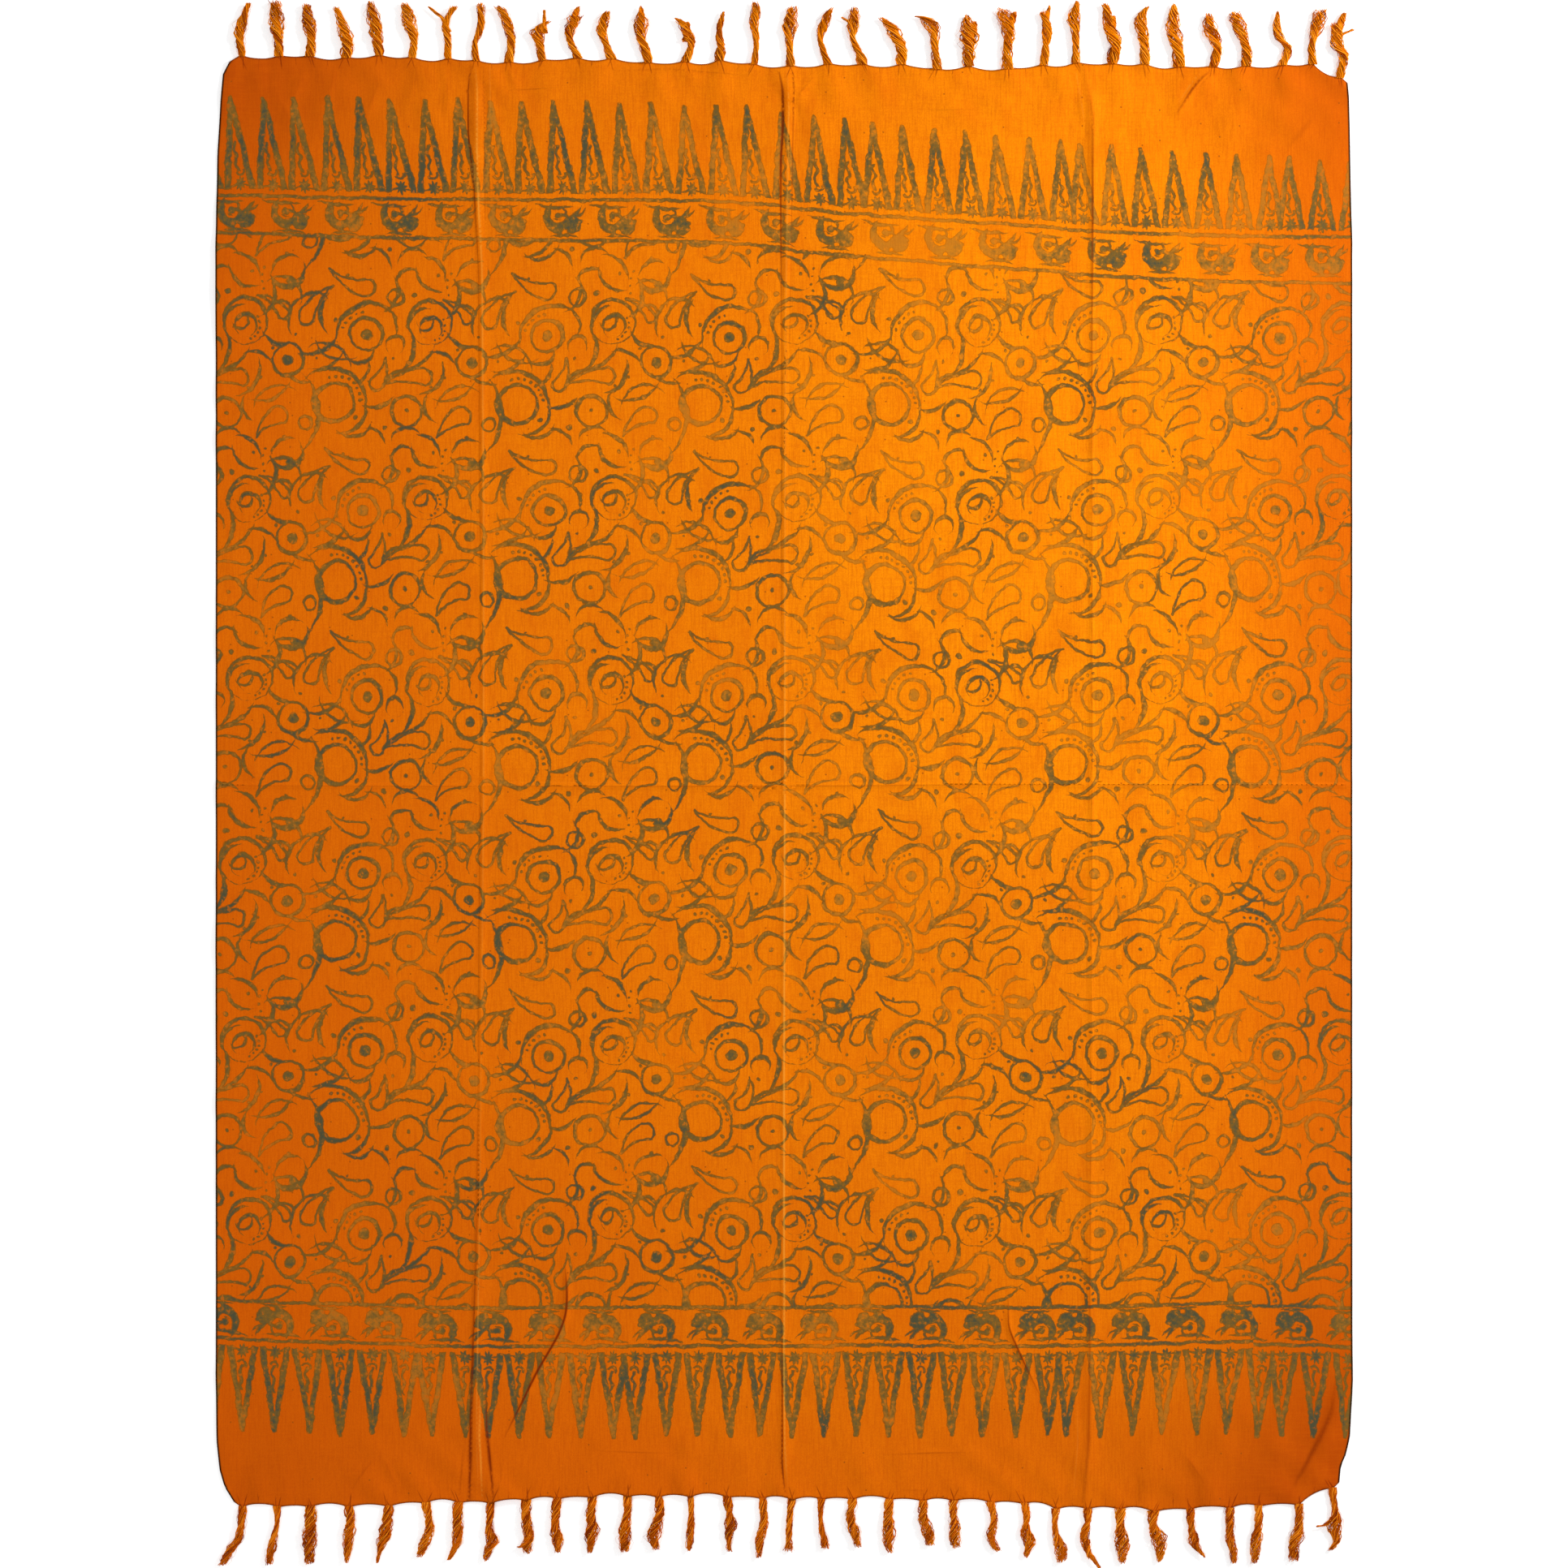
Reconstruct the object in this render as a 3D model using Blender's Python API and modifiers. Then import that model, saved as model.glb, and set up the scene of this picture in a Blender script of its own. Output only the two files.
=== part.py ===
"""A sarong laid flat: one woven panel, with a knotted fringe along each end.

Metres, +Z up. The cloth lies on z = 0 with its length along Y, and the origin
is under the middle of the whole piece. Places along and across the cloth are
read in pixels of the photograph, which looks straight down on it, and one
scale turns them into metres. Heights are real sizes.
"""
import math
from bisect import bisect_right
from collections import namedtuple

import bmesh
import bpy
from mathutils import Vector
from mathutils.geometry import delaunay_2d_cdt

MM = 0.001

# Driving sizes
CLOTH_WIDTH = 1150 * MM
CLOTH_WIDTH_PX = 1400
PX = CLOTH_WIDTH / CLOTH_WIDTH_PX
MIDDLE_PX = 966
WALL = 1.0 * MM
SEAM_GAP = 0.3 * MM

# Outline of the panel between the two fringes, as (x, y) pixels. A seam turns only midway between two tassels.
LEFT_EDGE = ((275, 92), (272, 127), (268, 190), (266, 300), (266, 1700), (267, 1775), (271, 1811), (277, 1832))
RIGHT_EDGE = ((1662, 122), (1664, 230), (1666, 300), (1666, 1700), (1663, 1770), (1658, 1792), (1652, 1806))
TOP_SEAM = ((275, 92), (907.5, 98), (1557, 100), (1598.5, 103), (1662, 122))
BOTTOM_SEAM = ((277, 1832), (918, 1824), (1575.5, 1832), (1620.5, 1822), (1652, 1806))

# Creases that stand up from the floor: pixels along the crest, height and half width in millimetres
CreasePoint = namedtuple("CreasePoint", "x y height half_width")
CREASES = {
    "left_fold": (
        (586, 84, 1.0, 12), (588, 171, 3.0, 14), (592, 263, 2.5, 10), (595, 330, 1.4, 6), (596, 968, 1.2, 5),
        (592, 1400, 1.2, 5), (589, 1600, 1.6, 8), (588, 1720, 3.0, 14), (590, 1840, 1.0, 12)),
    "middle_fold": (
        (969, 84, 1.2, 10), (972, 130, 2.4, 9), (971, 180, 1.4, 6), (968, 968, 1.2, 5), (966, 1700, 1.4, 6),
        (967, 1790, 2.2, 9), (972, 1840, 1.0, 9)),
    "right_fold": (
        (1334, 84, 1.0, 9), (1344, 143, 2.2, 9), (1345, 250, 1.4, 6), (1345, 968, 1.2, 5), (1343, 1500, 1.4, 6),
        (1341, 1775, 2.4, 11), (1334, 1845, 1.0, 11)),
    "cross_fold": ((255, 967, 1.0, 5), (700, 969, 1.0, 5), (1200, 967, 1.0, 5), (1680, 968, 1.0, 5)),
    "long_wrinkle": (
        (697, 1546, 0.0, 4), (701, 1587, 2.2, 6), (695, 1630, 2.6, 6), (675, 1670, 2.6, 6), (652, 1713, 2.2, 6),
        (622, 1774, 0.0, 4)),
    "short_wrinkle": ((1242, 1591, 0.0, 4), (1242, 1635, 1.6, 5), (1258, 1671, 1.6, 5), (1283, 1723, 0.0, 4)),
    "corner_fold": ((1676, 1660, 2.0, 16), (1652, 1722, 4.0, 18), (1632, 1782, 4.0, 18), (1604, 1838, 1.0, 14)),
}
FLAT_BELOW = 0.02 * MM
# A crease is meshed along its crest, halfway down each side and at both feet
CREASE_LINES = (-1.0, -0.5, 0.0, 0.5, 1.0)
CREASE_MERGE = 0.001 * MM
KEEP_INSIDE = 1

# One row for each tassel, in pixels: its root on the edge, and how far its tip and its middle sway sideways
Tassel = namedtuple("Tassel", "root_x root_y tip_dx tip_y mid_dx mid_y")
TOP_TASSELS = (
    (298, 67, 9, 3, -7, 41), (344, 67, -5, 1, 0, 34), (382, 67, -4, 5, 6, 31),
    (426, 69, -12, 9, 8, 56), (467, 66, -11, 2, 3, 48), (508, 69, -13, 4, 5, 46),
    (552, 70, 12, 8, -4, 28), (587, 73, 7, 5, 8, 38), (627, 74, -15, 9, 8, 51),
    (668, 72, 9, 25, -10, 43), (712, 69, 5, 23, -11, 38), (753, 70, -5, 18, -14, 36),
    (798, 75, -8, 10, -9, 38), (844, 74, -10, 24, 11, 54), (886, 73, 5, 17, 3, 51),
    (929, 77, 1, 2, 0, 40), (974, 79, 4, 9, -4, 26), (1020, 77, 5, 10, -11, 46),
    (1063, 77, -10, 10, -14, 43), (1110, 77, -26, 22, 3, 56), (1154, 83, -24, 22, 0, 31),
    (1193, 79, -3, 19, 1, 46), (1241, 83, -4, 10, 3, 45), (1285, 78, 3, 13, 5, 45),
    (1325, 75, 4, 1, -4, 26), (1370, 76, -9, 4, 10, 51), (1410, 77, 4, 9, -8, 26),
    (1452, 80, -6, 5, -10, 26), (1495, 80, -9, 18, 8, 59), (1534, 79, -14, 15, 0, 51),
    (1580, 78, -6, 15, 10, 57), (1617, 77, 15, 8, -4, 64), (1650, 94, -4, 20, 8, 66))
BOTTOM_TASSELS = (
    (299, 1858, -25, 1930, -1, 1891), (342, 1858, -10, 1928, -4, 1893), (383, 1858, -2, 1927, 0, 1892),
    (430, 1858, -1, 1924, 6, 1886), (479, 1857, -14, 1924, -1, 1880), (525, 1853, -8, 1919, 8, 1883),
    (565, 1853, -8, 1921, -3, 1887), (605, 1853, -7, 1923, 3, 1891), (649, 1850, -3, 1915, 4, 1884),
    (687, 1848, 1, 1912, -3, 1880), (730, 1846, -3, 1912, 3, 1878), (773, 1845, -3, 1912, -3, 1878),
    (811, 1846, -6, 1909, 0, 1877), (851, 1845, -1, 1912, 0, 1878), (896, 1846, 3, 1911, 9, 1881),
    (940, 1848, -4, 1918, 0, 1883), (976, 1849, -4, 1912, -1, 1880), (1012, 1849, 6, 1909, -1, 1878),
    (1051, 1849, 7, 1906, -6, 1869), (1096, 1849, 1, 1913, 1, 1880), (1137, 1851, 8, 1905, 3, 1880),
    (1175, 1851, 3, 1908, -3, 1880), (1220, 1853, 11, 1912, 5, 1880), (1262, 1854, 1, 1920, 3, 1886),
    (1301, 1861, 10, 1924, 0, 1893), (1340, 1860, 12, 1931, -6, 1886), (1380, 1861, 1, 1927, 3, 1894),
    (1421, 1864, 7, 1924, 11, 1891), (1467, 1861, 15, 1917, 0, 1893), (1515, 1860, 6, 1926, 1, 1893),
    (1551, 1857, -7, 1926, -1, 1886), (1600, 1855, -8, 1924, 1, 1886), (1641, 1835, -3, 1910, 2, 1861))

# Fringe strip: the outer corner at each end of it, and the dip between two tassels, in pixels
TOP_CORNERS = ((283, 77), (1660, 103))
BOTTOM_CORNERS = ((288, 1850), (1650, 1826))
SCALLOP_DIP_PX = 4.5
SCALLOP_SWING_PX = 1.4
SCALLOP_SWING_STEP = 2.4
SCALLOP_ROUNDNESS = 0.6

# Gathered root of a tassel on the strip
ROOT_HALF_WIDTH = 4.8 * MM
ROOT_THICKNESS = 4.4 * MM
SHOULDER_REACH = 9.5 * MM
SHOULDER_THICKNESS = 1.5 * MM
GATHER_DEPTH = 7.0 * MM
GATHER_DEPTH_SHARE = 0.6
GATHER_RISE_SHARE = 0.35
ROOT_INSET = 0.35 * MM
# Columns of the strip across one root, as shares of its half width
ROOT_COLUMNS = (-1.0, -1.0 / 3.0, 1.0 / 3.0, 1.0)

# What counts as the strip's outer wall: the sideways and the upward part of a face's normal
FACES_OUT = 0.7
UPRIGHT = 0.1

# Three locks twisted a third of a turn about each tassel's path
LOCKS_PER_TASSEL = 3
LOCK_SECTIONS = (
    # share of the length, ring radius sideways, half width and half height, in millimetres
    (0.22, 3.1, 1.10, 1.05),
    (0.48, 3.4, 1.70, 1.05),
    (0.76, 3.4, 1.65, 1.00),
    (1.00, 3.7, 0.90, 0.60),
)
RING_HEIGHT = 1.6 * MM
AXIS_HEIGHT = 3.25 * MM
TWIST = math.radians(120)
ROPE_TOP_ANGLE = math.radians(90)

CLOTH_COLOUR = (0.80, 0.19, 0.003, 1.0)
FRINGE_COLOUR = (0.72, 0.15, 0.003, 1.0)


def place(x_px, y_px):
    """A pixel of the photograph as a point on the floor."""
    return Vector(((x_px - MIDDLE_PX) * PX, (MIDDLE_PX - y_px) * PX))


def along(points, x):
    """Height y of a polyline that runs in +x, at x."""
    xs = [point[0] for point in points]
    i = min(max(bisect_right(xs, x) - 1, 0), len(points) - 2)
    (x0, y0), (x1, y1) = points[i], points[i + 1]
    return y0 + (y1 - y0) * (x - x0) / (x1 - x0)


def crease_rows(name):
    """The crest of one crease: its point on the floor, height and half width."""
    rows = []
    for point in (CreasePoint(*row) for row in CREASES[name]):
        rows.append((place(point.x, point.y), point.height * MM, point.half_width * MM))
    return rows


CREST_LINES = {name: crease_rows(name) for name in CREASES}


def lift(spot):
    """How far the cloth's underside stands off the floor at a spot."""
    highest = 0.0
    for rows in CREST_LINES.values():
        for (a, height_a, width_a), (b, height_b, width_b) in zip(rows, rows[1:]):
            run = b - a
            share = min(max((spot - a).dot(run) / run.length_squared, 0.0), 1.0)
            width = width_a + (width_b - width_a) * share
            reach = (spot - a - run * share).length / width
            if reach < 1.0:
                height = height_a + (height_b - height_a) * share
                highest = max(highest, height * (1.0 - reach * reach) ** 2)
    return highest if highest > FLAT_BELOW else 0.0


def side_normals(rows):
    """The sideways direction at each point of a crest."""
    normals = []
    for i in range(len(rows)):
        run = rows[min(i + 1, len(rows) - 1)][0] - rows[max(i - 1, 0)][0]
        normals.append(Vector((-run.y, run.x)).normalized())
    return normals


def cloth_outline():
    """The panel's outline, anticlockwise from its bottom left corner."""
    bottom = list(BOTTOM_SEAM)
    right = list(reversed(RIGHT_EDGE))
    top = list(reversed(TOP_SEAM))
    left = list(LEFT_EDGE)
    loop = bottom + right[1:] + top[1:] + left[1:-1]
    return [place(x, y) for x, y in loop]


def cloth_surface():
    """The panel's underside as a mesh whose edges follow the outline and the creases."""
    points = cloth_outline()
    edges = [(i, (i + 1) % len(points)) for i in range(len(points))]
    face = list(range(len(points)))
    for rows in CREST_LINES.values():
        normals = side_normals(rows)
        for offset in CREASE_LINES:
            first = len(points)
            points += [spot + normal * width * offset for (spot, _, width), normal in zip(rows, normals)]
            edges += [(i, i + 1) for i in range(first, len(points) - 1)]
    spots, _, triangles, _, _, _ = delaunay_2d_cdt(points, edges, [face], KEEP_INSIDE, CREASE_MERGE)
    mesh = bpy.data.meshes.new("cloth")
    mesh.from_pydata([(spot.x, spot.y, lift(spot)) for spot in spots], [], triangles)
    bm = bmesh.new()
    bm.from_mesh(mesh)
    bmesh.ops.delete(bm, geom=[vert for vert in bm.verts if not vert.link_faces], context="VERTS")
    for surface in bm.faces:
        if surface.calc_area() and surface.normal.z < 0:
            surface.normal_flip()
    bm.to_mesh(mesh)
    bm.free()
    return mesh


def make_cloth(material):
    """The woven panel: one wall of even thickness, flat on the floor but for its creases."""
    mesh = cloth_surface()
    cloth = add_object("cloth", mesh, material)
    wall = cloth.modifiers.new("wall", "SOLIDIFY")
    wall.thickness = WALL
    wall.offset = 1.0
    wall.use_even_offset = False
    return cloth


def sway(tassel, share):
    """Sideways offset of a tassel's path at a share of its length, in pixels."""
    middle = (tassel.mid_y - tassel.root_y) / (tassel.tip_y - tassel.root_y)
    slope_in = tassel.mid_dx / middle
    slope_out = (tassel.tip_dx - tassel.mid_dx) / (1.0 - middle)
    slope_middle = (slope_in + slope_out) / 2 if slope_in * slope_out > 0 else 0.0
    if share < middle:
        return hermite(share / middle, 0.0, tassel.mid_dx, 0.0, slope_middle * middle)
    rest = 1.0 - middle
    return hermite((share - middle) / rest, tassel.mid_dx, tassel.tip_dx, slope_middle * rest, slope_out * rest)


def hermite(t, start, end, slope_start, slope_end):
    """Cubic between two values with the slopes given at both."""
    bend = 3 * (end - start) - 2 * slope_start - slope_end
    twist = slope_start + slope_end - 2 * (end - start)
    return start + slope_start * t + bend * t ** 2 + twist * t ** 3


def fringe_edge(tassels, corners, inward):
    """The scalloped outer edge as a function of x: each tassel's root is a peak. Pixels."""
    peaks = [corners[0]] + [(tassel.root_x, tassel.root_y) for tassel in tassels] + [corners[1]]

    def edge(x):
        xs = [peak[0] for peak in peaks]
        i = min(max(bisect_right(xs, x) - 1, 0), len(peaks) - 2)
        share = (x - xs[i]) / (xs[i + 1] - xs[i])
        straight = along(peaks, x)
        at_end = i in (0, len(peaks) - 2)
        dip = 0.0 if at_end else SCALLOP_DIP_PX + SCALLOP_SWING_PX * math.sin(SCALLOP_SWING_STEP * i)
        hollow = max(math.sin(math.pi * share), 0.0) ** SCALLOP_ROUNDNESS
        return straight + inward * dip * hollow

    return edge


def strip_columns(tassels, corners):
    """Places along the strip with the thickness there: four at each root, its shoulders, and between."""
    root = ROOT_HALF_WIDTH / PX
    reach = SHOULDER_REACH / PX
    columns = {corners[0][0]: WALL, corners[1][0]: WALL}
    for tassel in tassels:
        for step in ROOT_COLUMNS:
            columns[tassel.root_x + step * root] = ROOT_THICKNESS
        for side in (-reach, reach):
            spot = tassel.root_x + side
            if corners[0][0] < spot < corners[1][0]:
                columns[spot] = SHOULDER_THICKNESS
    for left, right in zip(tassels, tassels[1:]):
        columns[(left.root_x + right.root_x) / 2] = WALL
    return sorted(columns.items())


def strip_section(x_px, thickness, seam, edge, out):
    """One cross-section of the strip, seen along x: seam foot, seam top, gather, edge top, edge foot."""
    inner = place(x_px, along(seam, x_px)) + Vector((0.0, out * SEAM_GAP))
    outer = place(x_px, edge(x_px))
    width = (outer.y - inner.y) * out
    gather = outer.y - out * min(GATHER_DEPTH, width * GATHER_DEPTH_SHARE)
    gather_height = WALL + (thickness - WALL) * GATHER_RISE_SHARE
    return (
        Vector((inner.x, inner.y, 0.0)),
        Vector((inner.x, inner.y, WALL)),
        Vector((outer.x, gather, gather_height)),
        Vector((outer.x, outer.y, thickness)),
        Vector((outer.x, outer.y, 0.0)),
    )


def loft(bm, sections):
    """Closed skin through sections of equal point count, with its two ends capped."""
    rings = [[bm.verts.new(point) for point in section] for section in sections]
    count = len(rings[0])
    for ring, following in zip(rings, rings[1:]):
        for i in range(count):
            j = (i + 1) % count
            bm.faces.new((ring[i], ring[j], following[j], following[i]))
    bm.faces.new(list(reversed(rings[0])))
    bm.faces.new(rings[-1])
    bmesh.ops.recalc_face_normals(bm, faces=bm.faces[:])


def root_faces(bm, tassel, out):
    """The three faces of the strip's outer wall that a tassel grows from, left to right."""
    centre = place(tassel.root_x, tassel.root_y)
    faces = []
    for face in bm.faces:
        middle = face.calc_center_median()
        near = abs(middle.x - centre.x) < ROOT_HALF_WIDTH and abs(middle.y - centre.y) < ROOT_HALF_WIDTH
        if near and face.normal.y * out > FACES_OUT and abs(face.normal.z) < UPRIGHT:
            faces.append(face)
    return sorted(faces, key=lambda face: face.calc_center_median().x)


def lock_centre(tassel, lock, row):
    """Middle of one lock's section, twisted about the tassel's path."""
    share, ring, _, _ = row
    path = place(tassel.root_x + sway(tassel, share), tassel.root_y + (tassel.tip_y - tassel.root_y) * share)
    angle = ROPE_TOP_ANGLE + math.tau * (1 - lock) / LOCKS_PER_TASSEL + TWIST * (share - LOCK_SECTIONS[0][0])
    side = math.cos(angle) * ring * MM
    rise = math.sin(angle) * RING_HEIGHT
    return Vector((path.x + side, path.y, AXIS_HEIGHT + rise))


def grow_lock(bm, face, tassel, lock):
    """One four-sided lock, drawn out of its root face section by section."""
    for row in LOCK_SECTIONS:
        middle = face.calc_center_median()
        corners = {vert: (vert.co.x > middle.x, vert.co.z > middle.z) for vert in face.verts}
        order = [corners[vert] for vert in face.verts]
        face = bmesh.ops.extrude_discrete_faces(bm, faces=[face])["faces"][0]
        centre = lock_centre(tassel, lock, row)
        half_width, half_height = row[2] * MM, row[3] * MM
        for vert, (right, upper) in zip(face.verts, order):
            side = half_width if right else -half_width
            rise = half_height if upper else -half_height
            vert.co = (centre.x + side, centre.y, centre.z + rise)


def make_fringe(name, rows, seam, corners, out, material):
    """A fringe: a narrow strip along the cloth's end with its tassels grown out of it."""
    tassels = [Tassel(*row) for row in rows]
    edge = fringe_edge(tassels, corners, inward=out)
    bm = bmesh.new()
    columns = strip_columns(tassels, corners)
    sections = [strip_section(x, thickness, seam, edge, out) for x, thickness in columns]
    loft(bm, sections)
    for tassel in tassels:
        roots = root_faces(bm, tassel, out)
        bmesh.ops.inset_individual(bm, faces=roots, thickness=ROOT_INSET, use_even_offset=True)
        for lock, face in enumerate(roots):
            grow_lock(bm, face, tassel, lock)
    mesh = bpy.data.meshes.new(name)
    bm.to_mesh(mesh)
    bm.free()
    return add_object(name, mesh, material)


def make_material(name, colour, roughness):
    """Plain matt cloth in one colour."""
    material = bpy.data.materials.new(name)
    material.use_nodes = True
    shader = material.node_tree.nodes["Principled BSDF"]
    shader.inputs["Base Color"].default_value = colour
    shader.inputs["Roughness"].default_value = roughness
    shader.inputs["Metallic"].default_value = 0.0
    material.diffuse_color = colour
    return material


def add_object(name, mesh, material):
    """Put a mesh in the sarong's collection as one named piece."""
    mesh.materials.append(material)
    piece = bpy.data.objects.new(name, mesh)
    COLLECTION.objects.link(piece)
    return piece


for leftover in list(bpy.data.objects):
    bpy.data.objects.remove(leftover)
COLLECTION = bpy.data.collections.new("sarong")
bpy.context.scene.collection.children.link(COLLECTION)

cloth_finish = make_material("cloth", CLOTH_COLOUR, 0.85)
fringe_finish = make_material("fringe", FRINGE_COLOUR, 0.9)
make_cloth(cloth_finish)
make_fringe("fringe_top", TOP_TASSELS, TOP_SEAM, TOP_CORNERS, 1, fringe_finish)
make_fringe("fringe_bottom", BOTTOM_TASSELS, BOTTOM_SEAM, BOTTOM_CORNERS, -1, fringe_finish)
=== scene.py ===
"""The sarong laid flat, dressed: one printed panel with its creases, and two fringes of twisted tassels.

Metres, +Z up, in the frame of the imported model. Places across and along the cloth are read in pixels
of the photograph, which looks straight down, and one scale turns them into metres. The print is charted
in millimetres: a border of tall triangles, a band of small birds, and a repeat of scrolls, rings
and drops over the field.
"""

import math
from bisect import bisect_right
from collections import namedtuple

import bmesh
import bpy
import numpy as np
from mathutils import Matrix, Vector
from mathutils.geometry import delaunay_2d_cdt


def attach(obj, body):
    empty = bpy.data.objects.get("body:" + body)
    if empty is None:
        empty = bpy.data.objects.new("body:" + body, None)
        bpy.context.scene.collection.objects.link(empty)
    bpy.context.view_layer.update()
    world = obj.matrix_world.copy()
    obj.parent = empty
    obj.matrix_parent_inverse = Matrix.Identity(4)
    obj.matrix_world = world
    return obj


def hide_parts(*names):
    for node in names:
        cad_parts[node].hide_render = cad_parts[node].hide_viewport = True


MM = 0.001

# Scale of the photograph, and the real size of the cloth
CLOTH_WIDTH = 1150 * MM
CLOTH_WIDTH_PX = 1400
PX = CLOTH_WIDTH / CLOTH_WIDTH_PX
MIDDLE_PX = 966

# Long edges of the panel, as (x, y) pixels from the top down
LEFT_EDGE = (
    (283, 77), (275, 92), (272, 127), (268, 190), (266, 300), (266, 1700), (267, 1775), (271, 1811),
    (277, 1832), (288, 1850))
RIGHT_EDGE = (
    (1660, 103), (1662, 122), (1664, 230), (1666, 300), (1666, 1700), (1663, 1770), (1658, 1792),
    (1652, 1806), (1650, 1826))

# One row for each tassel, in pixels: its root on the edge, then the stations down to its tip, each with
# half the tassel's width there
TOP_TASSELS = (
    ((298, 67, 3), (296, 40, 6.2), (301, 20, 4.5), (308, 4, 4)),
    ((344, 67, 4), (343, 50, 5.5), (342, 33, 7.5), (339, 1, 7.5)),
    ((382, 67, 4.5), (384, 50, 5), (382, 35, 6.2), (380, 20, 6), (378, 5, 5)),
    ((426, 69, 4.5), (428, 52, 7.8), (424, 35, 6.2), (418, 20, 3.8), (414, 9, 4)),
    ((467, 66, 3.7), (465, 47, 7.7), (462, 30, 7), (459, 15, 7), (456, 2, 3)),
    ((508, 69, 3.2), (510, 50, 4.6), (506, 33, 7), (503, 18, 7), (497, 4, 5)),
    ((552, 70, 3), (552, 50, 4), (549, 35, 3.3), (551, 24, 3), (561, 8, 4.5)),
    ((587, 73, 3.2), (585, 55, 3), (591, 40, 3.4), (593, 25, 3.5), (592, 4, 5.5)),
    ((627, 74, 4), (630, 50, 4.8), (625, 30, 5), (619, 15, 5.5), (614, 8, 6)),
    ((668, 72, 3.8), (665, 55, 5.5), (662, 41, 7), (668, 32, 4.5), (677, 27, 4.5)),
    ((712, 69, 4), (704, 55, 4), (702, 40, 4.2), (706, 28, 8), (710, 20, 9)),
    ((753, 70, 4.5), (747, 55, 4), (741, 40, 5), (744, 25, 6), (750, 14, 3)),
    ((798, 75, 4.5), (794, 60, 6), (790, 45, 5.5), (790, 28, 7.5), (790, 18, 4.5), (790, 8, 1.5)),
    ((844, 74, 4.5), (852, 55, 4.5), (847, 40, 5.5), (839, 28, 5), (832, 23, 3)),
    ((886, 73, 4.3), (888, 57, 5.5), (886, 45, 3), (888, 30, 3.3), (891, 15, 2)),
    ((929, 77, 3.5), (932, 62, 3.2), (931, 47, 3.7), (928, 33, 4.5), (931, 18, 5.5), (931, 3, 4)),
    ((974, 79, 4), (973, 60, 3.7), (972, 45, 5), (974, 30, 7.5), (975, 15, 7), (978, 8, 4.5)),
    ((1020, 77, 3.8), (1013, 60, 3.5), (1010, 47, 3), (1014, 35, 5), (1018, 22, 5), (1025, 10, 1.5)),
    ((1063, 77, 5), (1058, 65, 5.5), (1051, 50, 3.3), (1050, 35, 5.3), (1052, 20, 7), (1054, 9, 3.5)),
    ((1110, 77, 4.5), (1110, 60, 6.5), (1104, 45, 7), (1097, 33, 6.5), (1085, 22, 3.5)),
    ((1154, 83, 4.2), (1152, 60, 4.5), (1151, 45, 4.6), (1147, 31, 8.5), (1139, 23, 6.5),
     (1129, 21, 2.5)),
    ((1193, 79, 5), (1193, 62, 8), (1195, 45, 10), (1192, 30, 7), (1191, 18, 3)),
    ((1241, 83, 5.4), (1241, 60, 5.8), (1243, 45, 6), (1239, 30, 8.3), (1236, 11, 10.5)),
    ((1285, 78, 4.5), (1288, 60, 4.4), (1290, 45, 4.6), (1287, 25, 5.4), (1286, 14, 5)),
    ((1325, 75, 3.8), (1325, 55, 4.2), (1325, 36, 4.8), (1322, 25, 7), (1324, 14, 5), (1328, 1, 2)),
    ((1370, 76, 4.2), (1373, 60, 7.5), (1373, 50, 8), (1367, 35, 6.5), (1364, 20, 5.5), (1361, 4, 5.5)),
    ((1410, 77, 4), (1410, 62, 5.6), (1408, 45, 6), (1405, 30, 6), (1407, 18, 4.5), (1415, 8, 1.5)),
    ((1452, 80, 5.2), (1451, 65, 6.5), (1448, 50, 8), (1445, 35, 7.2), (1445, 20, 6), (1446, 5, 2)),
    ((1495, 80, 4.5), (1499, 62, 6), (1494, 45, 7), (1490, 30, 7.8), (1487, 17, 5.5)),
    ((1534, 79, 5), (1536, 65, 6), (1531, 48, 5.4), (1525, 30, 7.8), (1520, 15, 8.3)),
    ((1580, 78, 4.6), (1586, 60, 5.5), (1578, 50, 5), (1572, 35, 4.3), (1574, 14, 2)),
    ((1617, 77, 4), (1615, 60, 4), (1619, 45, 4.5), (1624, 30, 7.5), (1626, 12, 8)),
    ((1650, 94, 3.5), (1655, 70, 6), (1648, 60, 6.5), (1646, 45, 6), (1645, 28, 8)),
)
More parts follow.
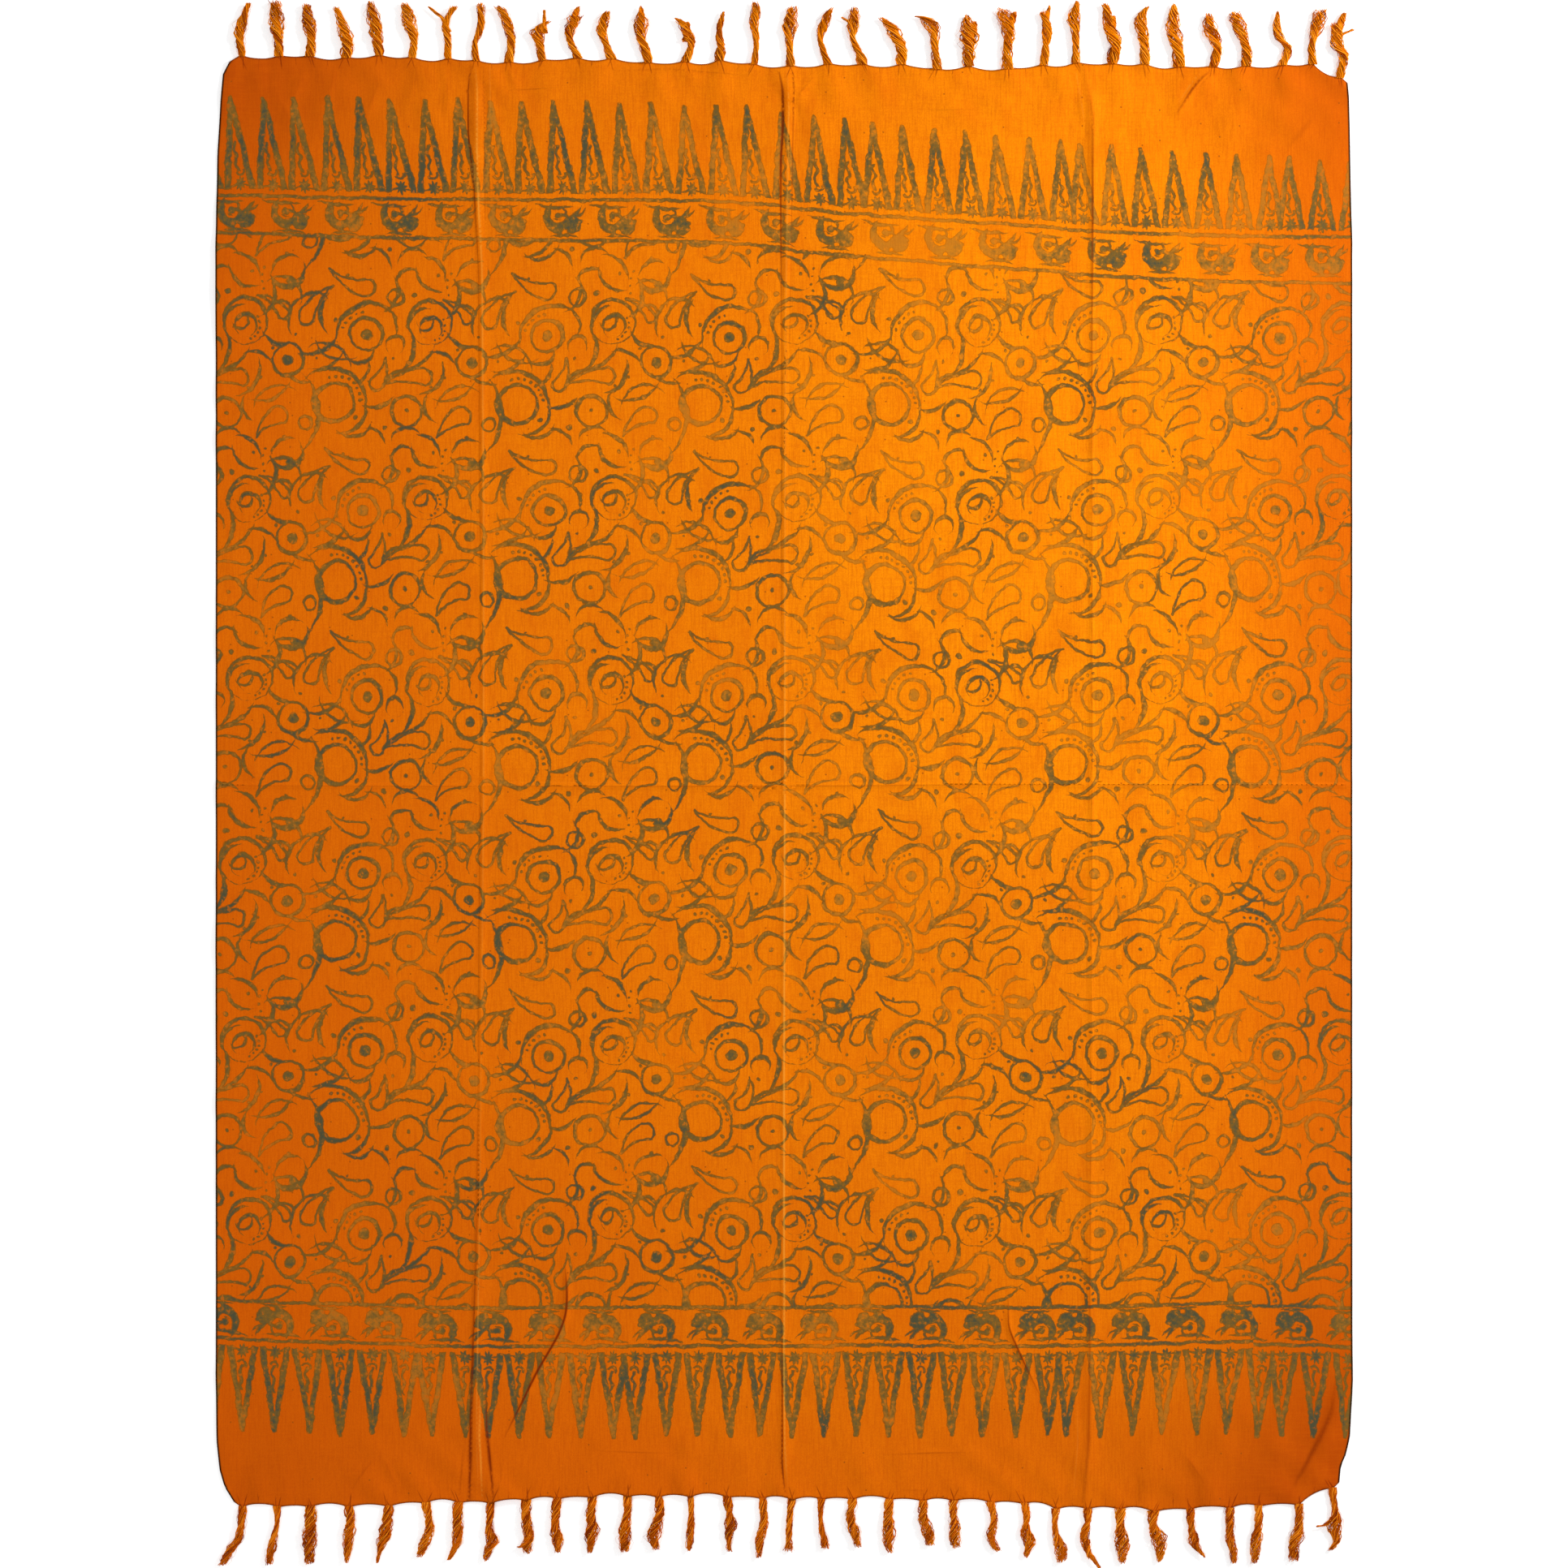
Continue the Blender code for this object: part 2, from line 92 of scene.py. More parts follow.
BOTTOM_TASSELS = (
    ((299, 1858, 4), (298, 1880, 4.8), (294, 1896, 4.5), (285, 1907, 5.5), (275, 1928, 6.3)),
    ((342, 1858, 3.7), (342, 1875, 2.6), (338, 1895, 3.5), (333, 1915, 5), (332, 1928, 4)),
    ((383, 1858, 4.3), (383, 1875, 7), (382, 1895, 6.8), (382, 1915, 6), (381, 1927, 6)),
    ((430, 1858, 3.8), (432, 1875, 5.8), (431, 1890, 6), (429, 1905, 5), (427, 1925, 2)),
    ((479, 1857, 4), (477, 1880, 7.7), (473, 1895, 6.5), (469, 1908, 3.5), (465, 1925, 1.5)),
    ((525, 1853, 4.2), (529, 1875, 4.6), (530, 1886, 4.8), (524, 1900, 5.5), (516, 1918, 5)),
    ((565, 1853, 4.4), (564, 1875, 6), (564, 1890, 5), (562, 1905, 4), (553, 1922, 2)),
    ((605, 1853, 3.5), (604, 1870, 4), (603, 1885, 4), (607, 1897, 6), (602, 1910, 5), (598, 1923, 3)),
    ((649, 1850, 4.3), (648, 1865, 5.5), (650, 1880, 5.5), (652, 1893, 4.6), (649, 1903, 6),
     (651, 1914, 4.5)),
    ((687, 1848, 4.3), (685, 1865, 5.8), (684, 1880, 4), (687, 1897, 6.3), (688, 1913, 3)),
    ((730, 1846, 4), (728, 1865, 5.4), (731, 1880, 6), (728, 1895, 6), (727, 1913, 2)),
    ((773, 1845, 3.6), (774, 1860, 4.5), (771, 1875, 5), (769, 1893, 7), (771, 1912, 5.5)),
    ((811, 1846, 4), (813, 1865, 6), (809, 1880, 6), (805, 1894, 7.3), (809, 1909, 4.5)),
    ((851, 1845, 2.8), (852, 1870, 3.6), (851, 1890, 4), (849, 1903, 4), (849, 1911, 2.5)),
    ((896, 1846, 4.2), (899, 1865, 4.6), (901, 1880, 6.6), (899, 1891, 4.5), (898, 1900, 2.5),
     (898, 1911, 4)),
    ((940, 1848, 3.5), (942, 1870, 5.2), (938, 1885, 5), (936, 1900, 4.5), (935, 1919, 3)),
    ((976, 1849, 3.5), (973, 1870, 3.4), (972, 1890, 2.8), (972, 1902, 4.2), (971, 1911, 6.5)),
    ((1012, 1849, 3.5), (1011, 1865, 2.7), (1012, 1880, 2.5), (1015, 1895, 3.7), (1017, 1908, 6)),
    ((1051, 1849, 4.2), (1048, 1865, 5.2), (1050, 1880, 5.6), (1054, 1893, 5), (1058, 1906, 4)),
    ((1096, 1849, 3.8), (1094, 1865, 5.3), (1096, 1884, 6.2), (1094, 1900, 5.6), (1098, 1913, 3)),
    ((1137, 1851, 3.5), (1138, 1870, 6), (1143, 1886, 6), (1146, 1904, 5.5)),
    ((1175, 1851, 4.3), (1174, 1863, 4.2), (1177, 1880, 5.4), (1176, 1895, 6), (1178, 1907, 6)),
    ((1220, 1853, 4), (1225, 1870, 4), (1222, 1885, 4.6), (1221, 1897, 4.5), (1231, 1911, 4.5)),
    ((1262, 1854, 4.2), (1265, 1870, 3.8), (1264, 1885, 4.8), (1267, 1900, 7), (1264, 1919, 2)),
    ((1301, 1861, 3.8), (1299, 1875, 3.2), (1302, 1892, 4), (1307, 1908, 6.8), (1307, 1925, 5.5)),
    ((1340, 1860, 3.8), (1340, 1873, 3.8), (1336, 1889, 4.6), (1338, 1905, 4.2), (1342, 1920, 2)),
    ((1380, 1861, 5), (1380, 1875, 4.6), (1381, 1890, 6.6), (1383, 1905, 6.6), (1382, 1926, 3)),
    ((1421, 1864, 5), (1420, 1878, 4.8), (1427, 1892, 8.5), (1429, 1907, 5.8), (1428, 1924, 2.5)),
    ((1467, 1861, 4.2), (1467, 1878, 4.2), (1470, 1893, 5), (1473, 1904, 5.2), (1484, 1918, 1.5)),
    ((1515, 1860, 4.2), (1515, 1878, 5), (1515, 1895, 4.6), (1519, 1910, 4), (1520, 1926, 4.2)),
    ((1551, 1857, 3.6), (1550, 1875, 5), (1549, 1890, 5.8), (1546, 1905, 5.6), (1545, 1926, 4.8)),
    ((1600, 1855, 3.8), (1600, 1875, 4.8), (1599, 1890, 7), (1594, 1905, 5.4), (1593, 1923, 6.5)),
    ((1641, 1835, 4), (1643, 1850, 3.3), (1645, 1862, 4), (1645, 1873, 7), (1643, 1883, 7),
     (1647, 1897, 4), (1638, 1910, 3.5)),
)
TOP_CORNERS = ((283, 77), (1660, 103))
BOTTOM_CORNERS = ((288, 1850), (1650, 1826))
SCALLOP_DIP_PX = 4.5
SCALLOP_SWING_PX = 1.4
SCALLOP_SWING_STEP = 2.4
SCALLOP_ROUNDNESS = 0.6

# Creases: pixels along the crest, height and half width in millimetres, and painted tone from painted
# highlight -1 to painted shade 1
CreasePoint = namedtuple("CreasePoint", "x y height half_width tone")
CREASES = (
    # the fold down the left quarter, with a hollow in painted shade on its left and a second fine ridge at
    # both ends
    ((586, 74, 0.6, 9, -0.1), (588, 110, 2.4, 10, -0.7), (588, 190, 2.8, 10, -0.9),
     (590, 263, 2.0, 8, -0.8), (594, 330, 1.4, 6, -0.6), (596, 640, 1.2, 5, -0.45),
     (596, 968, 1.2, 5, -0.45), (593, 1300, 1.1, 5, -0.3), (591, 1500, 1.4, 6, -0.4),
     (589, 1640, 2.4, 10, -0.5), (588, 1740, 3.0, 13, -0.5), (589, 1850, 0.8, 10, -0.2)),
    ((583, 74, 0, 7, 0.3), (577, 104, 0, 5, 0.8), (577, 165, 0, 5, 1.0), (581, 195, 0, 5, 0.9),
     (585, 240, 0, 6, 0.7), (590, 330, 0, 4, 0.4), (592, 700, 0, 4, 0.3), (592, 968, 0, 4, 0.35),
     (588, 1500, 0, 4, 0.35), (582, 1700, 0, 8, 0.8), (580, 1790, 0, 10, 0.95), (578, 1850, 0, 8, 0.7)),
    ((596, 84, 0, 4, 0.3), (597, 140, 0, 4, 0.7), (597, 200, 0, 4, 0.6), (598, 300, 0, 4, 0.3)),
    ((604, 84, 0.9, 6, -0.3), (604, 140, 1.2, 7, -0.4), (602, 200, 0.5, 5, -0.2), (598, 240, 0, 4, 0.0)),
    ((598, 1690, 0, 6, 0.2), (600, 1765, 0, 9, 0.9), (604, 1800, 0, 10, 0.9), (609, 1848, 0, 7, 0.6)),
    ((592, 1700, 0, 6, -0.3), (591, 1770, 0, 8, -0.8), (595, 1848, 0, 6, -0.5)),
    ((572, 1770, 0, 6, 0.0), (570, 1800, 0, 8, 0.5), (566, 1846, 0, 6, 0.3)),
    ((626, 82, 0.4, 9, 0.1), (633, 104, 1.6, 11, 0.3), (640, 132, 0, 9, 0.0)),
    ((612, 1848, 0.4, 8, 0.1), (618, 1816, 1.6, 10, 0.3), (622, 1776, 0, 9, 0.0)),
    # the fold down the middle
    ((969, 78, 0.6, 8, -0.1), (972, 130, 2.4, 9, -0.6), (971, 180, 1.6, 6, -0.6),
     (968, 400, 1.0, 5, -0.4), (967, 700, 1.0, 5, -0.4), (967, 968, 1.2, 5, -0.7),
     (966, 1300, 1.0, 5, -0.8), (966, 1700, 1.4, 6, -0.8), (967, 1790, 2.2, 9, -0.6),
     (972, 1850, 0.8, 9, 0.0)),
    ((976, 84, 0, 4, 0.6), (978, 108, 0, 6, 0.8), (977, 150, 0, 6, 0.6), (973, 400, 0, 4, 0.3),
     (970, 968, 0, 4, 0.2)),
    ((959, 84, 0, 6, 0.4), (965, 112, 0, 8, 0.9), (965, 150, 0, 9, 1.0), (962, 200, 0, 8, 1.0),
     (962, 250, 0, 7, 0.8), (963, 420, 0, 5, 0.5), (963, 968, 0, 4, 0.35)),
    ((962, 1560, 0, 4, 0.1), (964, 1700, 0, 4, 0.8), (964, 1770, 0, 5, 1.0), (964, 1810, 0, 5, 0.9),
     (969, 1848, 0, 4, 0.4)),
    # the fold down the right quarter
    ((1334, 76, 0.6, 8, 0.1), (1340, 110, 1.8, 10, 0.3), (1346, 143, 2.4, 10, 0.5),
     (1346, 250, 1.6, 6, 0.8), (1345, 420, 1.2, 5, 0.6), (1345, 600, 1.2, 5, 0.45),
     (1345, 968, 1.2, 5, 0.45), (1344, 1300, 1.2, 5, 0.35), (1343, 1500, 1.4, 6, 0.4),
     (1342, 1700, 2.0, 9, 0.5), (1341, 1775, 2.6, 13, 0.5), (1334, 1856, 0.8, 12, 0.4)),
    ((1326, 92, 0.8, 7, -0.3), (1333, 130, 1.2, 8, -0.4), (1338, 165, 0, 6, -0.2)),
    ((1326, 1700, 0, 6, -0.1), (1328, 1775, 1.4, 9, -0.35), (1322, 1850, 0.4, 8, -0.2)),
    # the fold across the middle
    ((262, 968, 1.0, 5, 0.3), (500, 969, 1.0, 5, 0.35), (700, 969, 1.1, 5, 0.4), (966, 969, 1.2, 5, 0.5),
     (1200, 967, 1.0, 5, 0.4), (1670, 968, 1.0, 5, 0.35)),
    ((262, 963, 0, 4, -0.15), (700, 964, 0, 4, -0.2), (1200, 962, 0, 4, -0.2), (1670, 963, 0, 4, -0.1)),
    # two sharp wrinkles near the bottom border
    ((695, 1547, 0, 4, 0.2), (699, 1590, 2.0, 6, 0.9), (698, 1618, 2.4, 6, 1.0), (690, 1641, 2.6, 6, 1.0),
     (677, 1664, 2.6, 6, 1.0), (662, 1689, 2.4, 6, 1.0), (645, 1724, 2.0, 6, 1.0),
     (621, 1772, 0, 5, 0.3)),
    ((1242, 1586, 0, 4, 0.2), (1242, 1635, 1.8, 5, 0.8), (1258, 1671, 1.8, 5, 0.9),
     (1283, 1723, 0, 4, 0.3)),
    # soft folds at the corners
    ((1676, 1660, 2.0, 15, 0.0), (1652, 1722, 3.8, 17, 0.0), (1632, 1782, 3.8, 17, 0.0),
     (1604, 1842, 0.8, 13, 0.0)),
    ((1646, 1700, 0, 12, 0.2), (1640, 1740, 0, 15, 0.5), (1622, 1779, 0, 17, 0.6),
     (1602, 1816, 0, 17, 0.5), (1590, 1838, 0, 12, 0.15)),
    ((431, 1840, 0.2, 8, 0.1), (448, 1812, 1.5, 9, 0.4), (472, 1786, 0, 7, 0.0)),
    ((487, 1830, 0.2, 8, 0.1), (478, 1808, 1.2, 8, 0.35), (470, 1787, 0, 7, 0.0)),
    ((1495, 84, 0.2, 8, 0.2), (1474, 102, 1.8, 8, 0.8), (1460, 124, 1.4, 8, 0.7), (1444, 150, 0, 8, 0.0)),
    ((1486, 84, 0, 6, -0.1), (1468, 102, 0, 6, -0.6), (1453, 126, 0, 6, -0.3)),
    ((1500, 84, 0, 6, 0.1), (1482, 102, 0, 6, 0.5), (1470, 116, 0, 6, 0.1)),
    ((1486, 1831, 0.2, 8, 0.1), (1470, 1806, 1.4, 9, 0.4), (1452, 1784, 0, 8, 0.0)),
    ((330, 96, 0.2, 12, 0.0), (352, 140, 1.4, 14, 0.25), (392, 196, 0, 12, 0.0)),
    ((1628, 130, 0.4, 18, 0.0), (1606, 160, 1.6, 22, 0.35), (1588, 180, 1.0, 18, 0.2),
     (1560, 232, 0, 12, 0.0)),
    ((958, 88, 0.2, 6, 0.3), (966, 112, 1.2, 7, 0.5), (974, 144, 0, 6, 0.1)),
    ((1006, 92, 0.2, 6, 0.2), (988, 110, 1.2, 7, 0.45), (976, 140, 0, 6, 0.1)),
    # soft creases at the top left, run together from the fringe
    ((371, 90, 0.3, 9, 0.1), (366, 112, 1.6, 10, 0.3), (352, 134, 0, 9, 0.0)),
    ((412, 88, 0.3, 9, 0.1), (406, 112, 1.5, 10, 0.28), (398, 150, 0, 9, 0.0)),
    ((470, 96, 0.3, 10, 0.1), (458, 122, 1.8, 12, 0.35), (448, 160, 0, 10, 0.0)),
    ((512, 90, 0.3, 9, 0.1), (505, 118, 1.4, 10, 0.25), (500, 152, 0, 9, 0.0)),
    ((548, 92, 0.3, 9, 0.1), (552, 120, 1.4, 10, 0.22), (546, 158, 0, 9, 0.0)),
    # fine lines across, pressed in while the cloth was folded
    ((619, 112, 0, 5, 0.1), (658, 110, 0.5, 5, 0.5), (697, 108, 0, 5, 0.1)),
    ((725, 136, 0, 5, 0.1), (750, 137, 0.4, 5, 0.3), (776, 138, 0, 5, 0.1)),
    ((740, 82, 0, 5, 0.1), (760, 88, 0.4, 5, 0.35), (822, 85, 0.5, 5, 0.4), (880, 90, 0.5, 5, 0.4),
     (957, 96, 0, 5, 0.1)),
    ((1098, 95, 0, 5, 0.1), (1150, 90, 0.4, 5, 0.4), (1180, 86, 0, 5, 0.1)),
    ((1123, 135, 0, 5, 0.1), (1168, 136, 0.4, 5, 0.4), (1215, 135, 0, 5, 0.1)),
    ((716, 1786, 0, 5, 0.1), (780, 1789, 0.5, 5, 0.4), (848, 1791, 0, 5, 0.1)),
    ((1071, 1793, 0, 5, 0.1), (1144, 1790, 0.5, 5, 0.5), (1217, 1789, 0, 5, 0.1)),
    ((1098, 1835, 0, 5, 0.1), (1132, 1836, 0.5, 5, 0.4), (1167, 1837, 0, 5, 0.1)),
    ((1228, 1832, 0, 5, 0.1), (1236, 1810, 0.6, 6, 0.3), (1240, 1780, 0, 5, 0.0)),
    ((1403, 1852, 0, 5, 0.2), (1406, 1840, 0.5, 5, 0.6), (1402, 1826, 0, 5, 0.1)),
    ((704, 1850, 0, 4, 0.6), (699, 1836, 0.5, 5, 0.6), (694, 1824, 0, 4, 0.1)),
)
# The panel's skin
CLOTH_WALL = 0.7 * MM
GRID = 8.88 * MM
EDGE_STEP = 2.6 * MM
SIDE_STEP = 7 * MM
SIDE_ROWS = (1.3 * MM, 4.5 * MM)
END_ROWS = (1.5 * MM, 4 * MM, 7.5 * MM, 12 * MM, 17 * MM, 23 * MM, 30 * MM)
END_STEP = 4.6 * MM
CREASE_STEP = 5 * MM
CREASE_OFFSETS = (-6.5, -3.4, -1.6, -0.7, 0.0, 0.7, 1.6, 3.4, 6.5)
CREASE_CLEAR = 9.5 * MM
EDGE_CLEAR = 3.2 * MM
MERGE = 0.02 * MM
# How far rows of vertices stay from the outline: end rows, side rows near the ends, creases near the ends
# and creases near the sides
END_CLEAR = 1.2 * MM
SIDE_END_CLEAR = 3 * MM
CREASE_END_CLEAR = 5 * MM
CREASE_SIDE_CLEAR = 2 * MM
GRID_END = 0.75
KEEP_INSIDE = 1
# Width and spread of the painted shade along the creases, and width and strength of the painted highlight
PAINTED_SHADE_WIDTH = 0.95 * MM
PAINTED_SHADE_SPREAD = 0.2
PAINTED_HIGHLIGHT_WIDTH = 1.1 * MM
PAINTED_HIGHLIGHT_SHARE = 0.85
SWELL_HEIGHT = 1.3 * MM
SWELL_SEED = 11
SWELL_COUNT = 14
SWELL_LENGTH = (0.09, 0.45)
CRUMPLE_HEIGHT = 2.0 * MM
CRUMPLE_REACH = 0.17
CRUMPLE_SEED = 8
CRUMPLE_COUNT = 16
CRUMPLE_LENGTH = (0.030, 0.080)
CRUMPLE_BEND = (0.15, 0.4)
CRUMPLE_END = 0.735
CRUMPLE_SIDE = 0.47
CRUMPLE_SIDE_REACH = 0.10
GATHER_SEED = 5
GATHER_REACH = 70 * MM
ROOT_BULGE = 1.9 * MM
ROOT_BULGE_REACH = 4.2 * MM
# Pleats at a tassel's root: directions in radians, how far each is turned, then length, height and width
PLEAT_TURNS = (-0.55, -0.1, 0.4)
PLEAT_SWING = 0.25
PLEAT_LENGTH = (22, 52)
PLEAT_HEIGHT = (0.5, 1.25)
PLEAT_WIDTH = (1.9, 4.5)

# Tassels
YARN_HEIGHT = 3.3 * MM
ROOT_HEIGHT = 2.3 * MM
TASSEL_START_PX = 3.0
PATH_POINTS = 16
# Tips that part from their tassel, as above
SPLIT_TIPS = (
    ((552, 40, 3), (547, 26, 2.2), (538, 17, 1.8), (528, 9, 1.2)),
    ((672, 42, 2), (671, 28, 1.6), (671, 13, 0.8)),
    ((706, 34, 4), (708, 22, 3.5), (713, 9, 2.5)), ((846, 52, 4), (846, 40, 4), (848, 28, 2.5)),
    ((1051, 45, 2), (1047, 30, 1.6), (1037, 22, 0.8)), ((1242, 46, 4), (1246, 32, 4), (1250, 15, 3)),
    ((1288, 34, 3), (1290, 22, 2.2), (1293, 8, 1.2)), ((1371, 50, 4.5), (1370, 38, 4), (1372, 20, 2.5)),
    ((1648, 48, 4), (1650, 34, 4), (1656, 16, 3)), ((1647, 50, 2), (1654, 43, 1.6), (1667, 37, 1.0)),
    ((652, 1890, 3), (648, 1902, 3.5), (639, 1906, 2.5)),
    ((1338, 1896, 3), (1342, 1912, 2.6), (1355, 1932, 1.6)),
    ((1192, 52, 5), (1199, 36, 4.5), (1201, 27, 2)),
    ((1644, 1868, 3), (1632, 1878, 2.2), (1622, 1880, 1.4)),
)


def place(x_px, y_px):
    """A pixel of the photograph as a point on the floor, in metres."""
    return ((x_px - MIDDLE_PX) * PX, (MIDDLE_PX - y_px) * PX)


def linear(red, green, blue):
    """A colour read off the photograph, 0 to 255 a channel, as linear light."""
    def channel(value):
        share = value / 255
        return share / 12.92 if share <= 0.04045 else ((share + 0.055) / 1.055) ** 2.4
    return (channel(red), channel(green), channel(blue), 1.0)


# Outline and mesh of the panel

def fringe_edge(rows, corners, inward):
    """The scalloped end of the cloth as y against x, in pixels: each tassel's root is a peak."""
    peaks = [corners[0]] + [row[0][:2] for row in rows] + [corners[1]]
    xs = [peak[0] for peak in peaks]

    def edge(x):
        i = min(max(bisect_right(xs, x) - 1, 0), len(peaks) - 2)
        (x0, y0), (x1, y1) = peaks[i], peaks[i + 1]
        share = (x - x0) / (x1 - x0)
        dip = 0.0
        if 0 < i < len(peaks) - 2:
            dip = SCALLOP_DIP_PX + SCALLOP_SWING_PX * math.sin(SCALLOP_SWING_STEP * i)
        hollow = max(math.sin(math.pi * share), 0.0) ** SCALLOP_ROUNDNESS
        return y0 + (y1 - y0) * share + inward * dip * hollow

    return edge


TOP_EDGE_AT = fringe_edge(TOP_TASSELS, TOP_CORNERS, 1)
BOTTOM_EDGE_AT = fringe_edge(BOTTOM_TASSELS, BOTTOM_CORNERS, -1)


def resample(points, step):
    """Points at even steps along a polyline, both ends kept. Every column is carried along."""
    rows = np.array(points, dtype=float)
    run = np.hypot(*np.diff(rows[:, :2], axis=0).T)
    travel = np.concatenate(([0.0], np.cumsum(run)))
    stops = np.linspace(0.0, travel[-1], max(int(round(travel[-1] / step)), 1) + 1)
    return np.stack([np.interp(stops, travel, column) for column in rows.T], axis=1)


def end_row(edge, corners, inset, step):
    """A row of points along one scalloped end, moved towards +Y by an inset in metres."""
    (x0, _), (x1, _) = corners
    count = int((x1 - x0) * PX / step)
    spots = [place(x, edge(x)) for x in np.linspace(x0, x1, count + 1)]
    return np.array([(x, y + inset) for x, y in spots])


def panel_outline():
    """The panel's outline, anticlockwise from its bottom left corner."""
    bottom = end_row(BOTTOM_EDGE_AT, BOTTOM_CORNERS, 0.0, EDGE_STEP)
    top = end_row(TOP_EDGE_AT, TOP_CORNERS, 0.0, EDGE_STEP)[::-1]
    left = resample([place(x, y) for x, y in LEFT_EDGE], SIDE_STEP)
    right = resample([place(x, y) for x, y in reversed(RIGHT_EDGE)], SIDE_STEP)
    return np.concatenate((bottom, right[1:-1], top, left[1:-1]))


def smooth_crest(rows):
    """A crease's rows as a fine rounded line in metres: x, y, height, half width, painted tone."""
    points = [CreasePoint(*row) for row in rows]
    line = [(*place(p.x, p.y), p.height * MM, p.half_width * MM, p.tone) for p in points]
    fine = resample(line, CREASE_STEP)
    for _ in range(3):
        fine[1:-1] = (fine[:-2] + 2 * fine[1:-1] + fine[2:]) / 4
    return fine


CRESTS = [smooth_crest(rows) for rows in CREASES]


def side_of(line):
    """Unit direction to the left at each point of a line."""
    run = np.gradient(line[:, :2], axis=0)
    run /= np.hypot(run[:, 0], run[:, 1])[:, None]
    return np.stack((-run[:, 1], run[:, 0]), axis=1)


def edge_limits(y):
    """The cloth's left and right edge at heights y, in metres."""
    sides = []
    for edge in (LEFT_EDGE, RIGHT_EDGE):
        spots = np.array([place(*spot) for spot in reversed(edge)])
        sides.append(np.interp(y, spots[:, 1], spots[:, 0]))
    return sides


def end_limits(x):
    """The cloth's bottom and top edge at places x, in metres."""
    columns = np.clip(x / PX + MIDDLE_PX, TOP_CORNERS[0][0], TOP_CORNERS[1][0])
    bottom = np.array([place(0, BOTTOM_EDGE_AT(column))[1] for column in columns])
    top = np.array([place(0, TOP_EDGE_AT(column))[1] for column in columns])
    return bottom, top


def inside(points, clear):
    """Which points lie inside the outline by at least a clearance."""
    left, right = edge_limits(points[:, 1])
    bottom, top = end_limits(points[:, 0])
    within = (points[:, 0] > left + clear) & (points[:, 0] < right - clear)
    return within & (points[:, 1] > bottom + clear) & (points[:, 1] < top - clear)


def crest_distance(points, crest):
    """Each point's distance to a crest, and the crest's height, width and painted tone at the nearest
    place.
    """
    best = np.full(len(points), np.inf)
    values = np.zeros((len(points), 3))
    for start, end in zip(crest[:-1], crest[1:]):
        run = end[:2] - start[:2]
        share = np.clip((points - start[:2]) @ run / (run @ run), 0.0, 1.0)
        gap = np.hypot(*(points - start[:2] - share[:, None] * run).T)
        closer = gap < best
        best[closer] = gap[closer]
        values[closer] = start[2:] + share[closer, None] * (end[2:] - start[2:])
    return best, values


def near_box(points, crest, reach):
    """Which points lie near a crest's bounding box."""
    low = crest[:, :2].min(axis=0) - reach
    high = crest[:, :2].max(axis=0) + reach
    return np.all((points > low) & (points < high), axis=1)


def panel_points():
    """The panel's vertices: rows along the ends and sides, lines along the creases, and a grid."""
    rows = []
    for inset in END_ROWS:
        step = max(END_STEP, inset / 4)
        rows.append(end_row(BOTTOM_EDGE_AT, BOTTOM_CORNERS, inset, step))
        rows.append(end_row(TOP_EDGE_AT, TOP_CORNERS, -inset, step))
    sides = []
    for inset in SIDE_ROWS:
        sides.append(resample([place(x, y) for x, y in LEFT_EDGE], SIDE_STEP) + (inset, 0))
        sides.append(resample([place(x, y) for x, y in RIGHT_EDGE], SIDE_STEP) - (inset, 0))
    ends = np.concatenate(rows)
    ends = ends[inside(ends, END_CLEAR)]
    sides = np.concatenate(sides)
    bottom, top = end_limits(sides[:, 0])
    sides = sides[(sides[:, 1] > bottom + SIDE_END_CLEAR) & (sides[:, 1] < top - SIDE_END_CLEAR)]
    lines = []
    for crest in CRESTS:
        normal = side_of(crest)
        for offset in CREASE_OFFSETS:
            lines.append(crest[:, :2] + normal * offset * MM)
    lines = np.concatenate(lines)
    bottom, top = end_limits(lines[:, 0])
    deep = (lines[:, 1] > bottom + CREASE_END_CLEAR) & (lines[:, 1] < top - CREASE_END_CLEAR)
    lines = lines[deep & inside(lines, CREASE_SIDE_CLEAR)]
    across = np.arange(-CLOTH_WIDTH / 2, CLOTH_WIDTH / 2, GRID)
    along = np.arange(-GRID_END, GRID_END, GRID * math.sqrt(3) / 2)
    grid = np.array([(x + (j % 2) * GRID / 2, y) for j, y in enumerate(along) for x in across])
    left, right = edge_limits(grid[:, 1])
    bottom, top = end_limits(grid[:, 0])
    clear = SIDE_ROWS[-1] + EDGE_CLEAR
    deep = END_ROWS[-1] + EDGE_CLEAR
    keep = (grid[:, 0] > left + clear) & (grid[:, 0] < right - clear)
    keep &= (grid[:, 1] > bottom + deep) & (grid[:, 1] < top - deep)
    grid = grid[keep]
    free = np.ones(len(grid), dtype=bool)
    for crest in CRESTS:
        close = near_box(grid, crest, CREASE_CLEAR)
        gap, _ = crest_distance(grid[close], crest)
        free[np.flatnonzero(close)[gap < CREASE_CLEAR]] = False
    return np.concatenate((ends, sides, lines, grid[free]))


